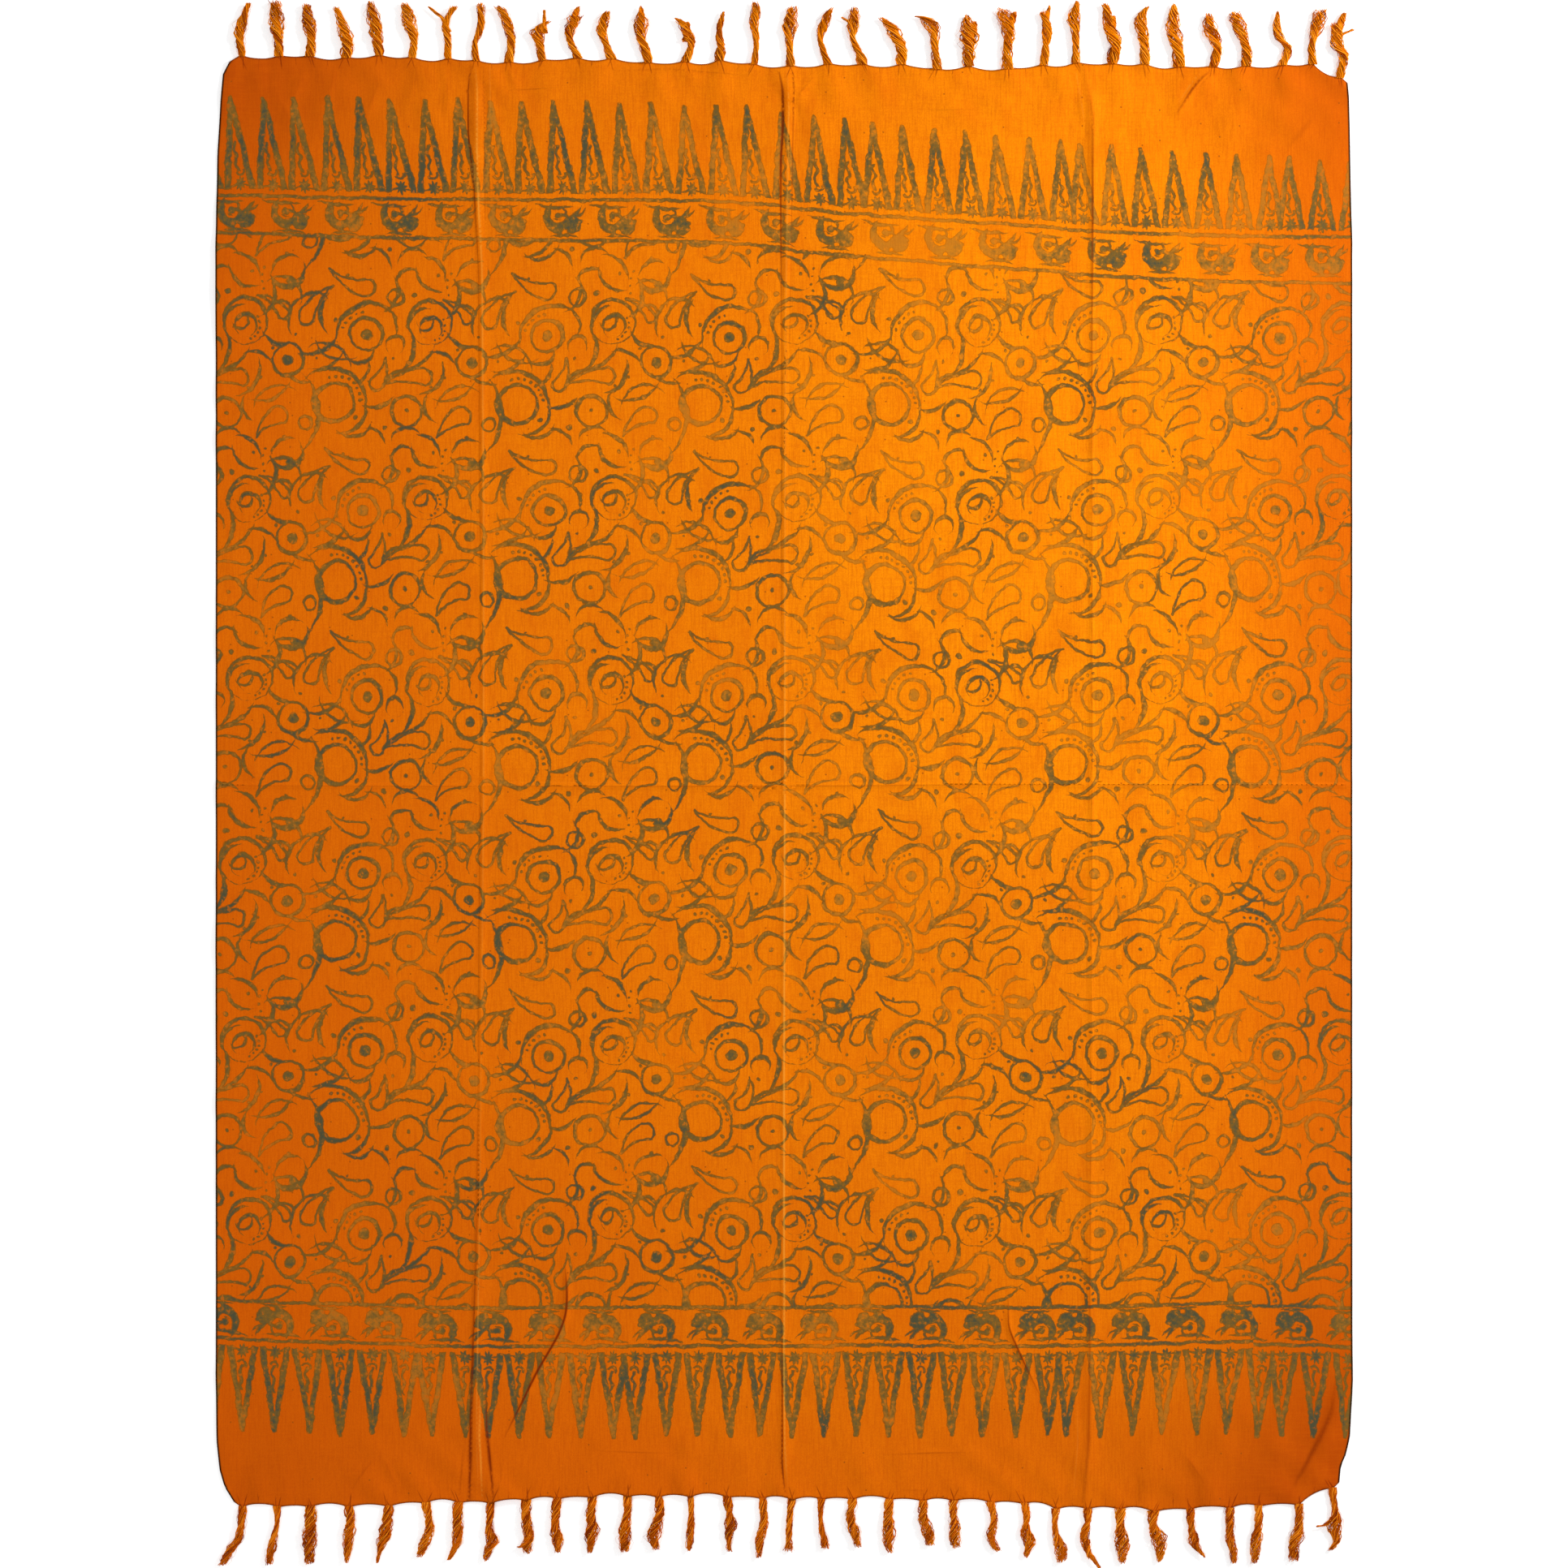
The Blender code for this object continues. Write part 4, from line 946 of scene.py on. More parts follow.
def triangle_print(w, run, tip_place, out, tall, lean):
    """Distance to the ink of the tall triangles, and of the ornament inside each one."""
    tip, pitch, stamp, border = run
    count = w.math("ROUND", w.math("DIVIDE", w.math("SUBTRACT", tip_place, tip), pitch))
    from_tip = w.math("SUBTRACT", w.math("SUBTRACT", tip_place, tip), w.math("MULTIPLY", count, pitch))
    chance = w.node("ShaderNodeTexWhiteNoise", noise_dimensions="2D")
    w.feed(chance.inputs["Vector"], w.joined(count, stamp))
    tip_x, tip_y, _ = w.parts(chance.outputs["Color"])
    tall = w.math("ADD", tall, w.math("MULTIPLY_ADD", tip_y, TIP_SWAY, -TIP_SWAY / 2))
    rise = w.math("SUBTRACT", out, TRIANGLE_BASE)
    share = w.math("DIVIDE", rise, tall)
    leant = w.math("MULTIPLY_ADD", w.math("MULTIPLY_ADD", tip_x, TIP_SWAY, -TIP_SWAY / 2), share, from_tip)
    side = w.math("SUBTRACT", from_tip, w.math("MULTIPLY", share, lean))
    narrowing = w.math("MULTIPLY_ADD", tall, NARROWING[1], NARROWING[0])
    wide = w.math("MULTIPLY", w.math("ABSOLUTE", leant), narrowing)
    outer = w.math("SUBTRACT", wide, w.math("MULTIPLY_ADD", share, -TRIANGLE_OUTER[1], TRIANGLE_OUTER[0]))
    outer = w.math("SMOOTH_MAX", outer, w.math("SUBTRACT", rise, tall), TIP_ROUND)
    hollow = w.math("MULTIPLY_ADD", share, -TRIANGLE_INNER[1], TRIANGLE_INNER[0])
    legs = w.math("MAXIMUM", outer, w.math("SUBTRACT", hollow, wide))
    stem = w.math("MAXIMUM", w.math("SUBTRACT", border, STEM_HALF), w.math("SUBTRACT", rise, STEM_TALL))
    legs = w.math("SMOOTH_MIN", legs, stem, 2.0)
    legs = w.math("MAXIMUM", legs, w.math("MULTIPLY", rise, -1.0))
    base = w.joined(side, rise)
    arm = w.vector("SUBTRACT", w.vector("MULTIPLY", base, (1.0, 0.8, 1.0)), (0.0, BLOB_RISE, 0.0))
    arm_x, arm_y, _ = w.parts(arm)
    spikes = w.math("SINE", w.math("MULTIPLY", w.math("ARCTAN2", arm_y, arm_x), BLOB_SPIKES))
    blob_edge = w.math("MULTIPLY_ADD", spikes, BLOB_SPIKE, BLOB_RADIUS)
    blob = w.math("SUBTRACT", w.vector("LENGTH", arm), blob_edge)
    garland = w.math("MULTIPLY", w.math("MULTIPLY", side, side), GARLAND_SAG)
    foot = w.math("SUBTRACT", rise, w.math("SUBTRACT", GARLAND_RISE, garland))
    foot = w.math("SUBTRACT", w.math("ABSOLUTE", foot), GARLAND_HALF)
    foot = w.math("MAXIMUM", foot, w.math("SUBTRACT", w.math("ABSOLUTE", side), GARLAND_REACH))
    hook = w.math("SUBTRACT", w.vector("DISTANCE", base, HOOK_CENTRE), HOOK_RADIUS)
    hook = w.math("SUBTRACT", w.math("ABSOLUTE", hook), HOOK_HALF)
    above = w.math("SUBTRACT", w.math("SUBTRACT", rise, HOOK_TOP), w.math("MULTIPLY", side, 0.5))
    hook = w.math("MAXIMUM", hook, above)
    sway = w.math("MULTIPLY", w.math("SINE", w.math("MULTIPLY", rise, TAIL_WAVE)), TAIL_SWAY)
    tail = w.math("SUBTRACT", w.math("ADD", leant, TAIL_ASIDE), sway)
    tail = w.math("SUBTRACT", w.math("ABSOLUTE", tail), TAIL_HALF)
    tail = w.math("MAXIMUM", tail, w.math("SUBTRACT", TAIL_START, rise))
    tail = w.math("SMOOTH_MAX", tail, w.math("MULTIPLY_ADD", share, TRIANGLE_UNIT, -TAIL_END), 2.0)
    ink = w.math("SMOOTH_MIN", legs, blob, 1.5)
    for extra in (foot, hook, tail):
        ink = w.math("SMOOTH_MIN", ink, extra, 1.2)
    return ink


# One bird, seen with the outer line above it: neck, back, the curl about its eye, wing, crest and foot
BIRD_MASSES = ((10.0, -5.0, 9.4), (0.0, -8.0, 7.6), (-7.0, -5.0, 6.4), (18.0, -1.5, 2.6))
BIRD_NECK = (-13.0, 11.5, -5.5, -11.0, -4.2, 4.6)
BIRD_NECK_PEN = 2.6
BIRD_EYE = (-3.4, 4.2, 3.7)
BIRD_CURL_RADIUS = 6.3
BIRD_CURL_HALF = 0.95
BIRD_CURL_END = 3.4
BIRD_CURL_OPENING = (0.7, 0.7, 0.0)
BIRD_NOTCH = (3.0, -12.2, 2.3)
BIRD_ARCS = (
    (-22.5, 14.6, 5.5, 12.8, -1.0, 2.0), (4, -1, 18.5, 12.0, -1.5, 2.6), (12, 4, 22, 8.5, -1, 1.0),
    (-3.4, 4.2, 7.0, 1.0, 2.4, 1.8), (1.0, 12.0, 3.0, 5.0, 2.0, 0.8), (-8, -15.6, 11, -16.2, 0.6, 1.6),
)
BIRD_PEN = 1.05


def round_mass(w, here, row):
    """Distance to a filled circle."""
    return w.math("SUBTRACT", w.vector("DISTANCE", here, (row[0], row[1], 0.0)), row[2])


def bird_print(w, from_middle, out, middle, facing):
    """Distance to the ink of the birds in the band."""
    side = w.math("WRAP", from_middle, BIRD_PITCH / 2, -BIRD_PITCH / 2)
    here = w.joined(w.math("MULTIPLY", side, facing), w.math("ADD", out, middle))
    ink = arc_stroke(w, here, *BIRD_NECK, repeat=None, pen=BIRD_NECK_PEN)
    for row in BIRD_MASSES:
        ink = w.math("SMOOTH_MIN", ink, round_mass(w, here, row), 1.2)
    curl = w.math("SUBTRACT", w.vector("DISTANCE", here, (*BIRD_EYE[:2], 0.0)), BIRD_CURL_RADIUS)
    curl = w.math("SUBTRACT", w.math("ABSOLUTE", curl), BIRD_CURL_HALF)
    arm = w.vector("SUBTRACT", here, (*BIRD_EYE[:2], 0.0))
    open_side = w.math("SUBTRACT", w.vector("DOT_PRODUCT", arm, BIRD_CURL_OPENING), BIRD_CURL_END)
    curl = w.math("MAXIMUM", curl, open_side)
    ink = w.math("SMOOTH_MAX", ink, w.math("MULTIPLY", curl, -1.0), 0.7)
    ink = w.math("SMOOTH_MAX", ink, w.math("MULTIPLY", round_mass(w, here, BIRD_NOTCH), -1.0), 0.7)
    ink = w.math("MINIMUM", ink, round_mass(w, here, BIRD_EYE))
    for row in BIRD_ARCS:
        ink = w.math("SMOOTH_MIN", ink, arc_stroke(w, here, *row, repeat=None, pen=BIRD_PEN), 0.9)
    return ink


# Uneven stamping: scales of the noises, and how far each moves the field's strokes and the border's, in
# millimetres, and the place of the field's repeat
DRIFT_SCALE = 0.0045
WOBBLE_SCALE = 0.05
TREMBLE_SCALE = 0.22
FIELD_DRIFT = 14.0
FIELD_WOBBLE = 4.5
FIELD_TREMBLE = 1.1
BORDER_WOBBLE = 3.6
BORDER_TREMBLE = 1.3
FIELD_SHIFT = (37.0, 21.0, 0.0)


def printed_distance(w, flat, zone):
    """Distance to a zone's nearest ink in millimetres, negative inside it."""
    wobble = w.vector("SUBTRACT", w.noise(flat, WOBBLE_SCALE, 1.0, 0.6, coloured=True), (0.5, 0.5, 0.5))
    tremble = w.vector("SUBTRACT", w.noise(flat, TREMBLE_SCALE, 0.0, 0.5, coloured=True), (0.5, 0.5, 0.5))
    if zone != "border":
        drift = w.vector("SUBTRACT", w.noise(flat, DRIFT_SCALE, 0.0, coloured=True), (0.5, 0.5, 0.5))
        here = w.vector("ADD", flat, w.scaled(drift, FIELD_DRIFT))
        here = w.vector("ADD", here, w.scaled(wobble, FIELD_WOBBLE))
        here = w.vector("ADD", here, w.scaled(tremble, FIELD_TREMBLE))
        here = w.vector("MULTIPLY", here, (1.0, 1.0, 0.0))
        field = field_print(w, w.vector("ADD", here, FIELD_SHIFT))
    if zone == "field":
        return field
    small = w.vector("ADD", w.scaled(wobble, BORDER_WOBBLE), w.scaled(tremble, BORDER_TREMBLE))
    across, along, _ = w.parts(w.vector("ADD", flat, small))
    at_top = w.math("GREATER_THAN", along, 0.0)
    from_start = w.math("SUBTRACT", across, mixed(w, at_top, *LINE_STARTS))
    stamp = w.math("FLOOR", w.math("DIVIDE", from_start, LINE_RUN))
    draw = w.node("ShaderNodeTexWhiteNoise", noise_dimensions="2D")
    w.feed(draw.inputs["Vector"], w.joined(stamp, at_top))
    jump = w.math("MULTIPLY_ADD", draw.outputs["Value"], STAMP_JUMP, -STAMP_JUMP / 2)
    top = line_height(w, across, TOP_LINE, TOP_LINE_RANGE, 1)
    bottom = line_height(w, across, BOTTOM_LINE, BOTTOM_LINE_RANGE, -1)
    level = mixed(w, at_top, bottom, top)
    out = w.math("ADD", w.math("SUBTRACT", w.math("ABSOLUTE", along), level), jump)
    share = w.math("MULTIPLY_ADD", across, MM / CLOTH_WIDTH, 0.5)
    band_top = w.math("MULTIPLY_ADD", share, BAND_WIDTH[1] - BAND_WIDTH[0], BAND_WIDTH[0])
    band = mixed(w, at_top, BAND_WIDTH_BOTTOM, band_top)
    tall_top = w.curve(share, TRIANGLE_TOP_HEIGHT)
    tall = w.math("MULTIPLY", mixed(w, at_top, TRIANGLE_BOTTOM_HEIGHT, tall_top), TRIANGLE_UNIT)
    outer_line = w.math("SUBTRACT", w.math("ABSOLUTE", out), LINE_HALF)
    inner_line = w.math("SUBTRACT", w.math("ABSOLUTE", w.math("ADD", out, band)), LINE_HALF)
    lean = w.math("MULTIPLY_ADD", share, TRIANGLE_LEAN[1] - TRIANGLE_LEAN[0], TRIANGLE_LEAN[0])
    low, high = TRIANGLE_LEAN_BOTTOM
    other = w.math("MULTIPLY_ADD", share, high - low, low)
    lean = mixed(w, at_top, other, lean)
    rise_share = w.math("DIVIDE", w.math("SUBTRACT", out, TRIANGLE_BASE), tall)
    tip_place = w.math("SUBTRACT", across, w.math("MULTIPLY", lean, w.math("SUBTRACT", 1.0, rise_share)))
    ends = [run_values(w, tip_place, runs) for runs in (BOTTOM_RUNS, TOP_RUNS)]
    run = [mixed(w, at_top, low, high) for low, high in zip(*ends)]
    triangles = triangle_print(w, run, tip_place, out, tall, lean)
    facing = w.math("MULTIPLY_ADD", at_top, 2.0, -1.0)
    last_join = place(BOTTOM_RUNS[4].start, 0)[0] / MM
    late = w.math("MULTIPLY", w.math("GREATER_THAN", across, last_join), BIRD_SHIFT)
    middle = mixed(w, at_top, w.math("ADD", late, BIRD_MIDDLE_BOTTOM), BIRD_MIDDLE_TOP)
    birds = bird_print(w, w.math("SUBTRACT", across, middle), out, w.math("MULTIPLY", band, 0.5), facing)
    ink = w.math("MINIMUM", outer_line, inner_line)
    ink = w.math("MINIMUM", ink, triangles)
    ink = w.math("MINIMUM", ink, birds)
    if zone == "border":
        return ink
    field = w.math("MAXIMUM", field, w.math("ADD", w.math("ADD", out, band), -1.0))
    return w.math("SMOOTH_MIN", ink, field, 1.5)


# Colours read off the photograph
GROUND_PAINTED_LIGHT = linear(252, 143, 3)
GROUND_MIDDLE = linear(238, 126, 3)
GROUND_DEEP_DYE_AND_SHADE = linear(214, 96, 3)
GROUND_DARK_DYE_AND_SHADE = linear(176, 66, 3)
CREASE_PAINTED_SHADE = linear(112, 26, 2)
CREASE_PAINTED_HIGHLIGHT = linear(255, 178, 62)
INK_RIM = linear(134, 78, 8)
INK_DARK = linear(78, 76, 54)
INK_MIDDLE = linear(118, 88, 36)
INK_LIGHT = linear(160, 108, 32)
SPECK = linear(150, 74, 10)
EDGE_PAINTED_SHADOW = linear(36, 20, 6)
END_PAINTED_SHADOW = linear(104, 42, 4)
YARN_DEEP = linear(140, 40, 4)
YARN_BRIGHT = linear(255, 160, 34)
EDGE_SHADE = (1.0, 2.5)
END_SHADE = (0.3, 2.4)
MILLIMETRES = 1000.0
GRAIN_SIZE = 1.1
# Painted shade in the corners: centre, where the shade starts and is full, and how strong it is
PAINTED_CORNER_SHADE = (
    (640.0, -800.0, 420.0, 60.0, 0.95), (-620.0, -800.0, 360.0, 60.0, 0.45),
    (-620.0, 790.0, 380.0, 60.0, 0.75), (640.0, 800.0, 340.0, 60.0, 0.5))
# The centre of the painted light on the cloth and its reach, squeezed along the cloth
PAINTED_LIGHT_CENTRE = (360.0, 220.0, 0.0)
PAINTED_LIGHT_SQUEEZE = (1.0, 0.87, 1.0)
UNEVEN_REACH = 260.0
# Streaks and clouds in the dye: stretch, scale, detail and roughness of the noise, where the shade starts
# and is full, its strength and its colour
STREAKS = (
    ((1.0, 0.07, 1.0), 0.55, 2.0, 0.65, 0.4, 0.72, 0.24, GROUND_DARK_DYE_AND_SHADE),
    ((0.07, 1.0, 1.0), 0.45, 1.0, 0.6, 0.42, 0.7, 0.14, GROUND_DEEP_DYE_AND_SHADE),
    ((1.0, 0.4, 1.0), 0.03, 3.0, 0.7, 0.42, 0.75, 0.34, GROUND_DEEP_DYE_AND_SHADE),
)
GRAIN_STRENGTH = 0.22
# Crumbs of wax: cells in a millimetre, the share of cells with one, and its strength
CRUMB_SCALE = 0.05
CRUMB_SHARE = 0.16
CRUMB_STRENGTH = 0.75
THREAD_PITCH = (0.8, 0.9)
THREAD_HEIGHT = 0.5
SLUB_HEIGHT = 2.0
BUMP_DEPTH = 0.15 * MM
# Painted shade in strokes at a tassel's root: place beside it in millimetres, a number that turns them
# apart, and strength
GATHER_SHADE_MARKS = ((-1.6, 7.3, 0.45), (1.2, 13.1, 0.65))


def millimetre_spot(w):
    """Object coordinates in millimetres, and the same with no height."""
    coordinates = w.node("ShaderNodeTexCoord").outputs["Object"]
    spot = w.scaled(coordinates, MILLIMETRES)
    return spot, w.vector("MULTIPLY", spot, (1.0, 1.0, 0.0))


def painted_light_reach(w, flat):
    """Distance from the centre of the painted light, at the upper right, with an uneven edge."""
    reach = w.vector("DISTANCE", w.vector("MULTIPLY", flat, PAINTED_LIGHT_SQUEEZE), PAINTED_LIGHT_CENTRE)
    uneven = w.math("MULTIPLY_ADD", w.noise(flat, 0.004, 1.0), UNEVEN_REACH, -UNEVEN_REACH / 2)
    return w.math("ADD", reach, uneven)


def dye_and_painted_light(w, flat, reach):
    """The orange ground: painted light at the upper right, painted shade to the left, towards the right
    edge and in the corners, and streaky dye.
    """
    # Painted light: brighter near the upper right, shading off with distance from it
    ground = w.blend(w.ramp(reach, 120.0, 560.0), GROUND_PAINTED_LIGHT, GROUND_MIDDLE)
    ground = w.blend(w.ramp(reach, 480.0, 1120.0), ground, GROUND_DEEP_DYE_AND_SHADE)
    # Painted shade towards the right edge
    across, _, _ = w.parts(flat)
    ground = w.blend(w.ramp(across, 360.0, 600.0, 0.0, 0.9), ground, GROUND_DEEP_DYE_AND_SHADE)
    # Painted shade in the corners
    for x, y, far, near, most in PAINTED_CORNER_SHADE:
        gap = w.vector("DISTANCE", flat, (x, y, 0.0))
        ground = w.blend(w.ramp(gap, far, near, 0.0, most), ground, GROUND_DARK_DYE_AND_SHADE)
    for stretch, scale, detail, roughness, low, high, most, shade in STREAKS:
        streak = w.noise(w.vector("MULTIPLY", flat, stretch), scale, detail, roughness)
        ground = w.blend(w.ramp(streak, low, high, 0.0, most), ground, shade)
    grain = w.node("ShaderNodeTexWhiteNoise", noise_dimensions="2D")
    w.feed(grain.inputs["Vector"], w.vector("SNAP", flat, (GRAIN_SIZE, GRAIN_SIZE, GRAIN_SIZE)))
    return w.blend(w.math("MULTIPLY", grain.outputs["Value"], GRAIN_STRENGTH), ground, GROUND_DARK_DYE_AND_SHADE)


def inked(w, flat, ground, reach, zone):
    """The ground with the stamped ink over it: olive-grey, with a thin rim, fainter here and there, and
    painted darker away from the painted light.
    """
    gap = printed_distance(w, flat, zone)
    strength = w.noise(flat, 0.012, 1.0, 0.55)
    mottled = w.noise(flat, 0.17, 2.0, 0.65)
    gap = w.math("ADD", gap, w.math("MULTIPLY_ADD", mottled, 2.6, -1.25))
    depth = w.math("MULTIPLY_ADD", strength, 2.6, -1.3)
    # Painted shade on the ink: darker with distance from the painted light at the upper right
    depth = w.math("ADD", depth, w.ramp(reach, 60.0, 900.0, 0.12, 0.62))
    depth = w.math("ADD", depth, w.math("MULTIPLY_ADD", mottled, 1.8, -0.9))
    core = w.blend(w.ramp(depth, -0.2, 0.7), INK_LIGHT, INK_MIDDLE)
    core = w.blend(w.ramp(depth, 0.6, 1.25), core, INK_DARK)
    rim = w.blend(w.ramp(gap, -1.5, -0.2, 0.0, 0.75), core, INK_RIM)
    cover = w.ramp(gap, 0.45, -0.35)
    worn = w.ramp(mottled, 0.28, 0.4, 0.55, 1.0)
    faint = w.ramp(depth, -0.5, 0.75, 0.62, 1.0)
    cover = w.math("MULTIPLY", w.math("MULTIPLY", cover, worn), faint)
    finish = w.blend(cover, ground, rim)
    crumbs = w.node("ShaderNodeTexVoronoi", feature="F1", voronoi_dimensions="2D")
    w.feed(crumbs.inputs["Vector"], flat)
    w.feed(crumbs.inputs["Scale"], CRUMB_SCALE)
    rare = w.math("LESS_THAN", w.parts(crumbs.outputs["Color"])[0], CRUMB_SHARE)
    crumb = w.math("MULTIPLY", w.ramp(crumbs.outputs["Distance"], 0.055, 0.03), rare)
    return w.blend(w.math("MULTIPLY", crumb, CRUMB_STRENGTH), finish, SPECK)


def painted_gather_shade(w):
    """Short strokes of painted shade that run into the cloth from each tassel's root."""
    side = w.attribute("root_side")
    depth = w.attribute("end_gap")
    draw = w.attribute("root_draw")
    marks = None
    for start, swing, most in GATHER_SHADE_MARKS:
        turn = w.math("MULTIPLY_ADD", w.math("FRACT", w.math("MULTIPLY", draw, swing)), 1.3, -0.65)
        off = w.math("SUBTRACT", w.math("MULTIPLY_ADD", depth, turn, start), side)
        own = w.math("FRACT", w.math("MULTIPLY", draw, swing * 1.7))
        fade = w.ramp(w.math("MULTIPLY_ADD", own, -7.0, depth), 9.0, 2.0, 0.0, most)
        mark = w.math("MULTIPLY", w.ramp(w.math("ABSOLUTE", off), 1.0, 0.2), fade)
        marks = mark if marks is None else w.math("MAXIMUM", marks, mark)
    return marks


def weave_height(w, spot):
    """Fine threads of the plain weave, across and along."""
    across, along, _ = w.parts(spot)
    warp = w.math("SINE", w.math("MULTIPLY", across, math.tau / THREAD_PITCH[0]))
    weft = w.math("SINE", w.math("MULTIPLY", along, math.tau / THREAD_PITCH[1]))
    slubs = w.noise(w.vector("MULTIPLY", spot, (1.0, 0.1, 1.0)), 0.7, 0.0)
    threads = w.math("MULTIPLY", w.math("MULTIPLY", warp, weft), THREAD_HEIGHT)
    return w.math("ADD", threads, w.math("MULTIPLY", slubs, SLUB_HEIGHT))


def soft_cloth(material, colour, height, strength):
    """Wire a colour and a thread height into a matt fibre finish."""
    w = Wiring(material.node_tree)
    shader = material.node_tree.nodes["Principled BSDF"]
    w.feed(shader.inputs["Base Color"], colour)
    shader.inputs["Roughness"].default_value = 0.85
    shader.inputs["Specular IOR Level"].default_value = 0.03
    shader.inputs["Sheen Weight"].default_value = 0.02
    shader.inputs["Sheen Roughness"].default_value = 0.5
    shader.inputs["Sheen Tint"].default_value = GROUND_PAINTED_LIGHT
    bump = w.node("ShaderNodeBump")
    bump.inputs["Strength"].default_value = strength
    bump.inputs["Distance"].default_value = BUMP_DEPTH
    w.feed(bump.inputs["Height"], height)
    w.feed(shader.inputs["Normal"], bump.outputs["Normal"])


def printed_cloth(zone):
    """Dyed and printed rayon in one zone: ground with painted light and shade, ink, painted shade and
    highlight along the creases and at the tassels' roots, painted shadow along the edges, and the weave.
    """
    material = bpy.data.materials.new("printed_cloth_" + zone)
    material.use_nodes = True
    w = Wiring(material.node_tree)
    spot, flat = millimetre_spot(w)
    reach = painted_light_reach(w, flat)
    colour = inked(w, flat, dye_and_painted_light(w, flat, reach), reach, zone)
    tone = w.attribute("crease_painted_light")
    # Painted shade in the crease hollows and painted highlight on their ridges
    colour = w.blend(w.ramp(tone, 0.05, 1.0, 0.0, 0.9), colour, CREASE_PAINTED_SHADE)
    colour = w.blend(w.ramp(tone, -0.05, -1.0, 0.0, 0.6), colour, CREASE_PAINTED_HIGHLIGHT)
    # Painted shade in the small gathers at the tassels' roots
    colour = w.blend(painted_gather_shade(w), colour, CREASE_PAINTED_SHADE)
    # Painted shadow along the long edges
    border = w.attribute("edge_gap")
    colour = w.blend(w.ramp(border, EDGE_SHADE[1], EDGE_SHADE[0], 0.0, 0.95), colour, EDGE_PAINTED_SHADOW)
    # Painted shadow along the scalloped ends
    colour = w.blend(w.ramp(w.attribute("end_gap"), END_SHADE[1], END_SHADE[0], 0.0, 0.7), colour, END_PAINTED_SHADOW)
    soft_cloth(material, colour, weave_height(w, spot), 0.25)
    return material


def fringe_yarn():
    """Twisted orange yarn: a shade of its own for every yarn, over the ground with its painted light, and
    painted paler towards the upper end.
    """
    material = bpy.data.materials.new("fringe_yarn")
    material.use_nodes = True
    w = Wiring(material.node_tree)
    spot, flat = millimetre_spot(w)
    shade = w.attribute("yarn_tone")
    # Painted light: the yarn is painted paler towards the upper end of the cloth
    painted_light_lift = w.ramp(w.parts(flat)[1], -100.0, 100.0, 0.3, 0.75)
    ground = w.blend(painted_light_lift, dye_and_painted_light(w, flat, painted_light_reach(w, flat)), GROUND_PAINTED_LIGHT)
    colour = w.blend(w.ramp(shade, 0.05, 0.55, 0.9, 0.0), ground, YARN_DEEP)
    colour = w.blend(w.ramp(shade, 0.65, 0.95, 0.0, 0.9), colour, YARN_BRIGHT)
    fibres = w.noise(w.vector("MULTIPLY", spot, (1.0, 0.25, 1.0)), 1.6, 3.0, 0.6)
    colour = w.blend(w.ramp(fibres, 0.45, 0.75, 0.0, 0.3), colour, YARN_DEEP)
    soft_cloth(material, colour, fibres, 0.5)
    return material


# Tassels, grown by Geometry Nodes along their paths

TASSEL_SIZES = {
    "Yarns": 50,
    "Yarn Radius": 0.66 * MM,
    "Turns": 0.8,
    "Fray": 5.0 * MM,
    "Flatness": 0.36,
    "Hairs": 8,
    "Hair Radius": 0.17 * MM,
}
# A bundle's spread, its looseness and its seed
YARN_LAY = (0.80, 0.10, 3)
HAIR_LAY = (1.1, 0.6, 40)
PLY_REACH = 0.32
TIP_TAPER = 0.45
STRAY_SCALE = 90.0
RING_SIDES = 3
LINE_POINTS = 13
BUNDLE_GROWTH = 1.32
LEAST_HALF_PX = 0.7
FLOOR_CLEAR = 0.2 * MM
RISE_PX = 9.0
SOCKET_KINDS = {int: "NodeSocketInt", float: "NodeSocketFloat"}


def smooth_path(stations, count):
    """Evenly spread points on a smooth line through the stations, each with its half width."""
    rows = np.array(stations, float)
    guarded = np.vstack([2 * rows[0] - rows[1], rows, 2 * rows[-1] - rows[-2]])
    places = np.linspace(0, len(rows) - 1, count)
    first = np.minimum(places.astype(int), len(rows) - 2)
    t = (places - first)[:, None]
    a, b, c, d = (guarded[first + i] for i in range(4))
    bend = (2 * a - 5 * b + 4 * c - d) * t ** 2 + (3 * b - a - 3 * c + d) * t ** 3
    return 0.5 * (2 * b + (c - a) * t + bend)


def add_path(curve, stations, low_start):
    """One open line through a tassel's stations, with its bundle's half width along it."""
    spline = curve.splines.new("POLY")
    spline.points.add(PATH_POINTS - 1)
    rows = smooth_path(stations, PATH_POINTS)
    for point, (x_px, y_px, half) in zip(spline.points, rows):
        share = min(abs(y_px - rows[0][1]) / RISE_PX, 1.0)
        x, y = place(x_px, y_px)
        low = low_start + (YARN_HEIGHT - low_start) * share
        point.co = (x, y, low, 1.0)
        point.radius = max(float(half), LEAST_HALF_PX) * BUNDLE_GROWTH * PX


def tassel_paths(name, rows):
    """One fringe's lines: each tassel from just inside the cloth to its tip, and the split tips."""
    curve = bpy.data.curves.new(name, "CURVE")
    curve.dimensions = "3D"
    for row in rows:
        x_px, y_px, half = row[0]
        inward = math.copysign(TASSEL_START_PX, y_px - row[-1][1])
        add_path(curve, ((x_px, y_px + inward, half),) + row[1:], ROOT_HEIGHT)
    top = rows[0][0][1] < MIDDLE_PX
    for row in SPLIT_TIPS:
        if (row[0][1] < MIDDLE_PX) == top:
            add_path(curve, row, YARN_HEIGHT)
    paths = bpy.data.objects.new(name, curve)
    bpy.context.scene.collection.objects.link(paths)
    return paths


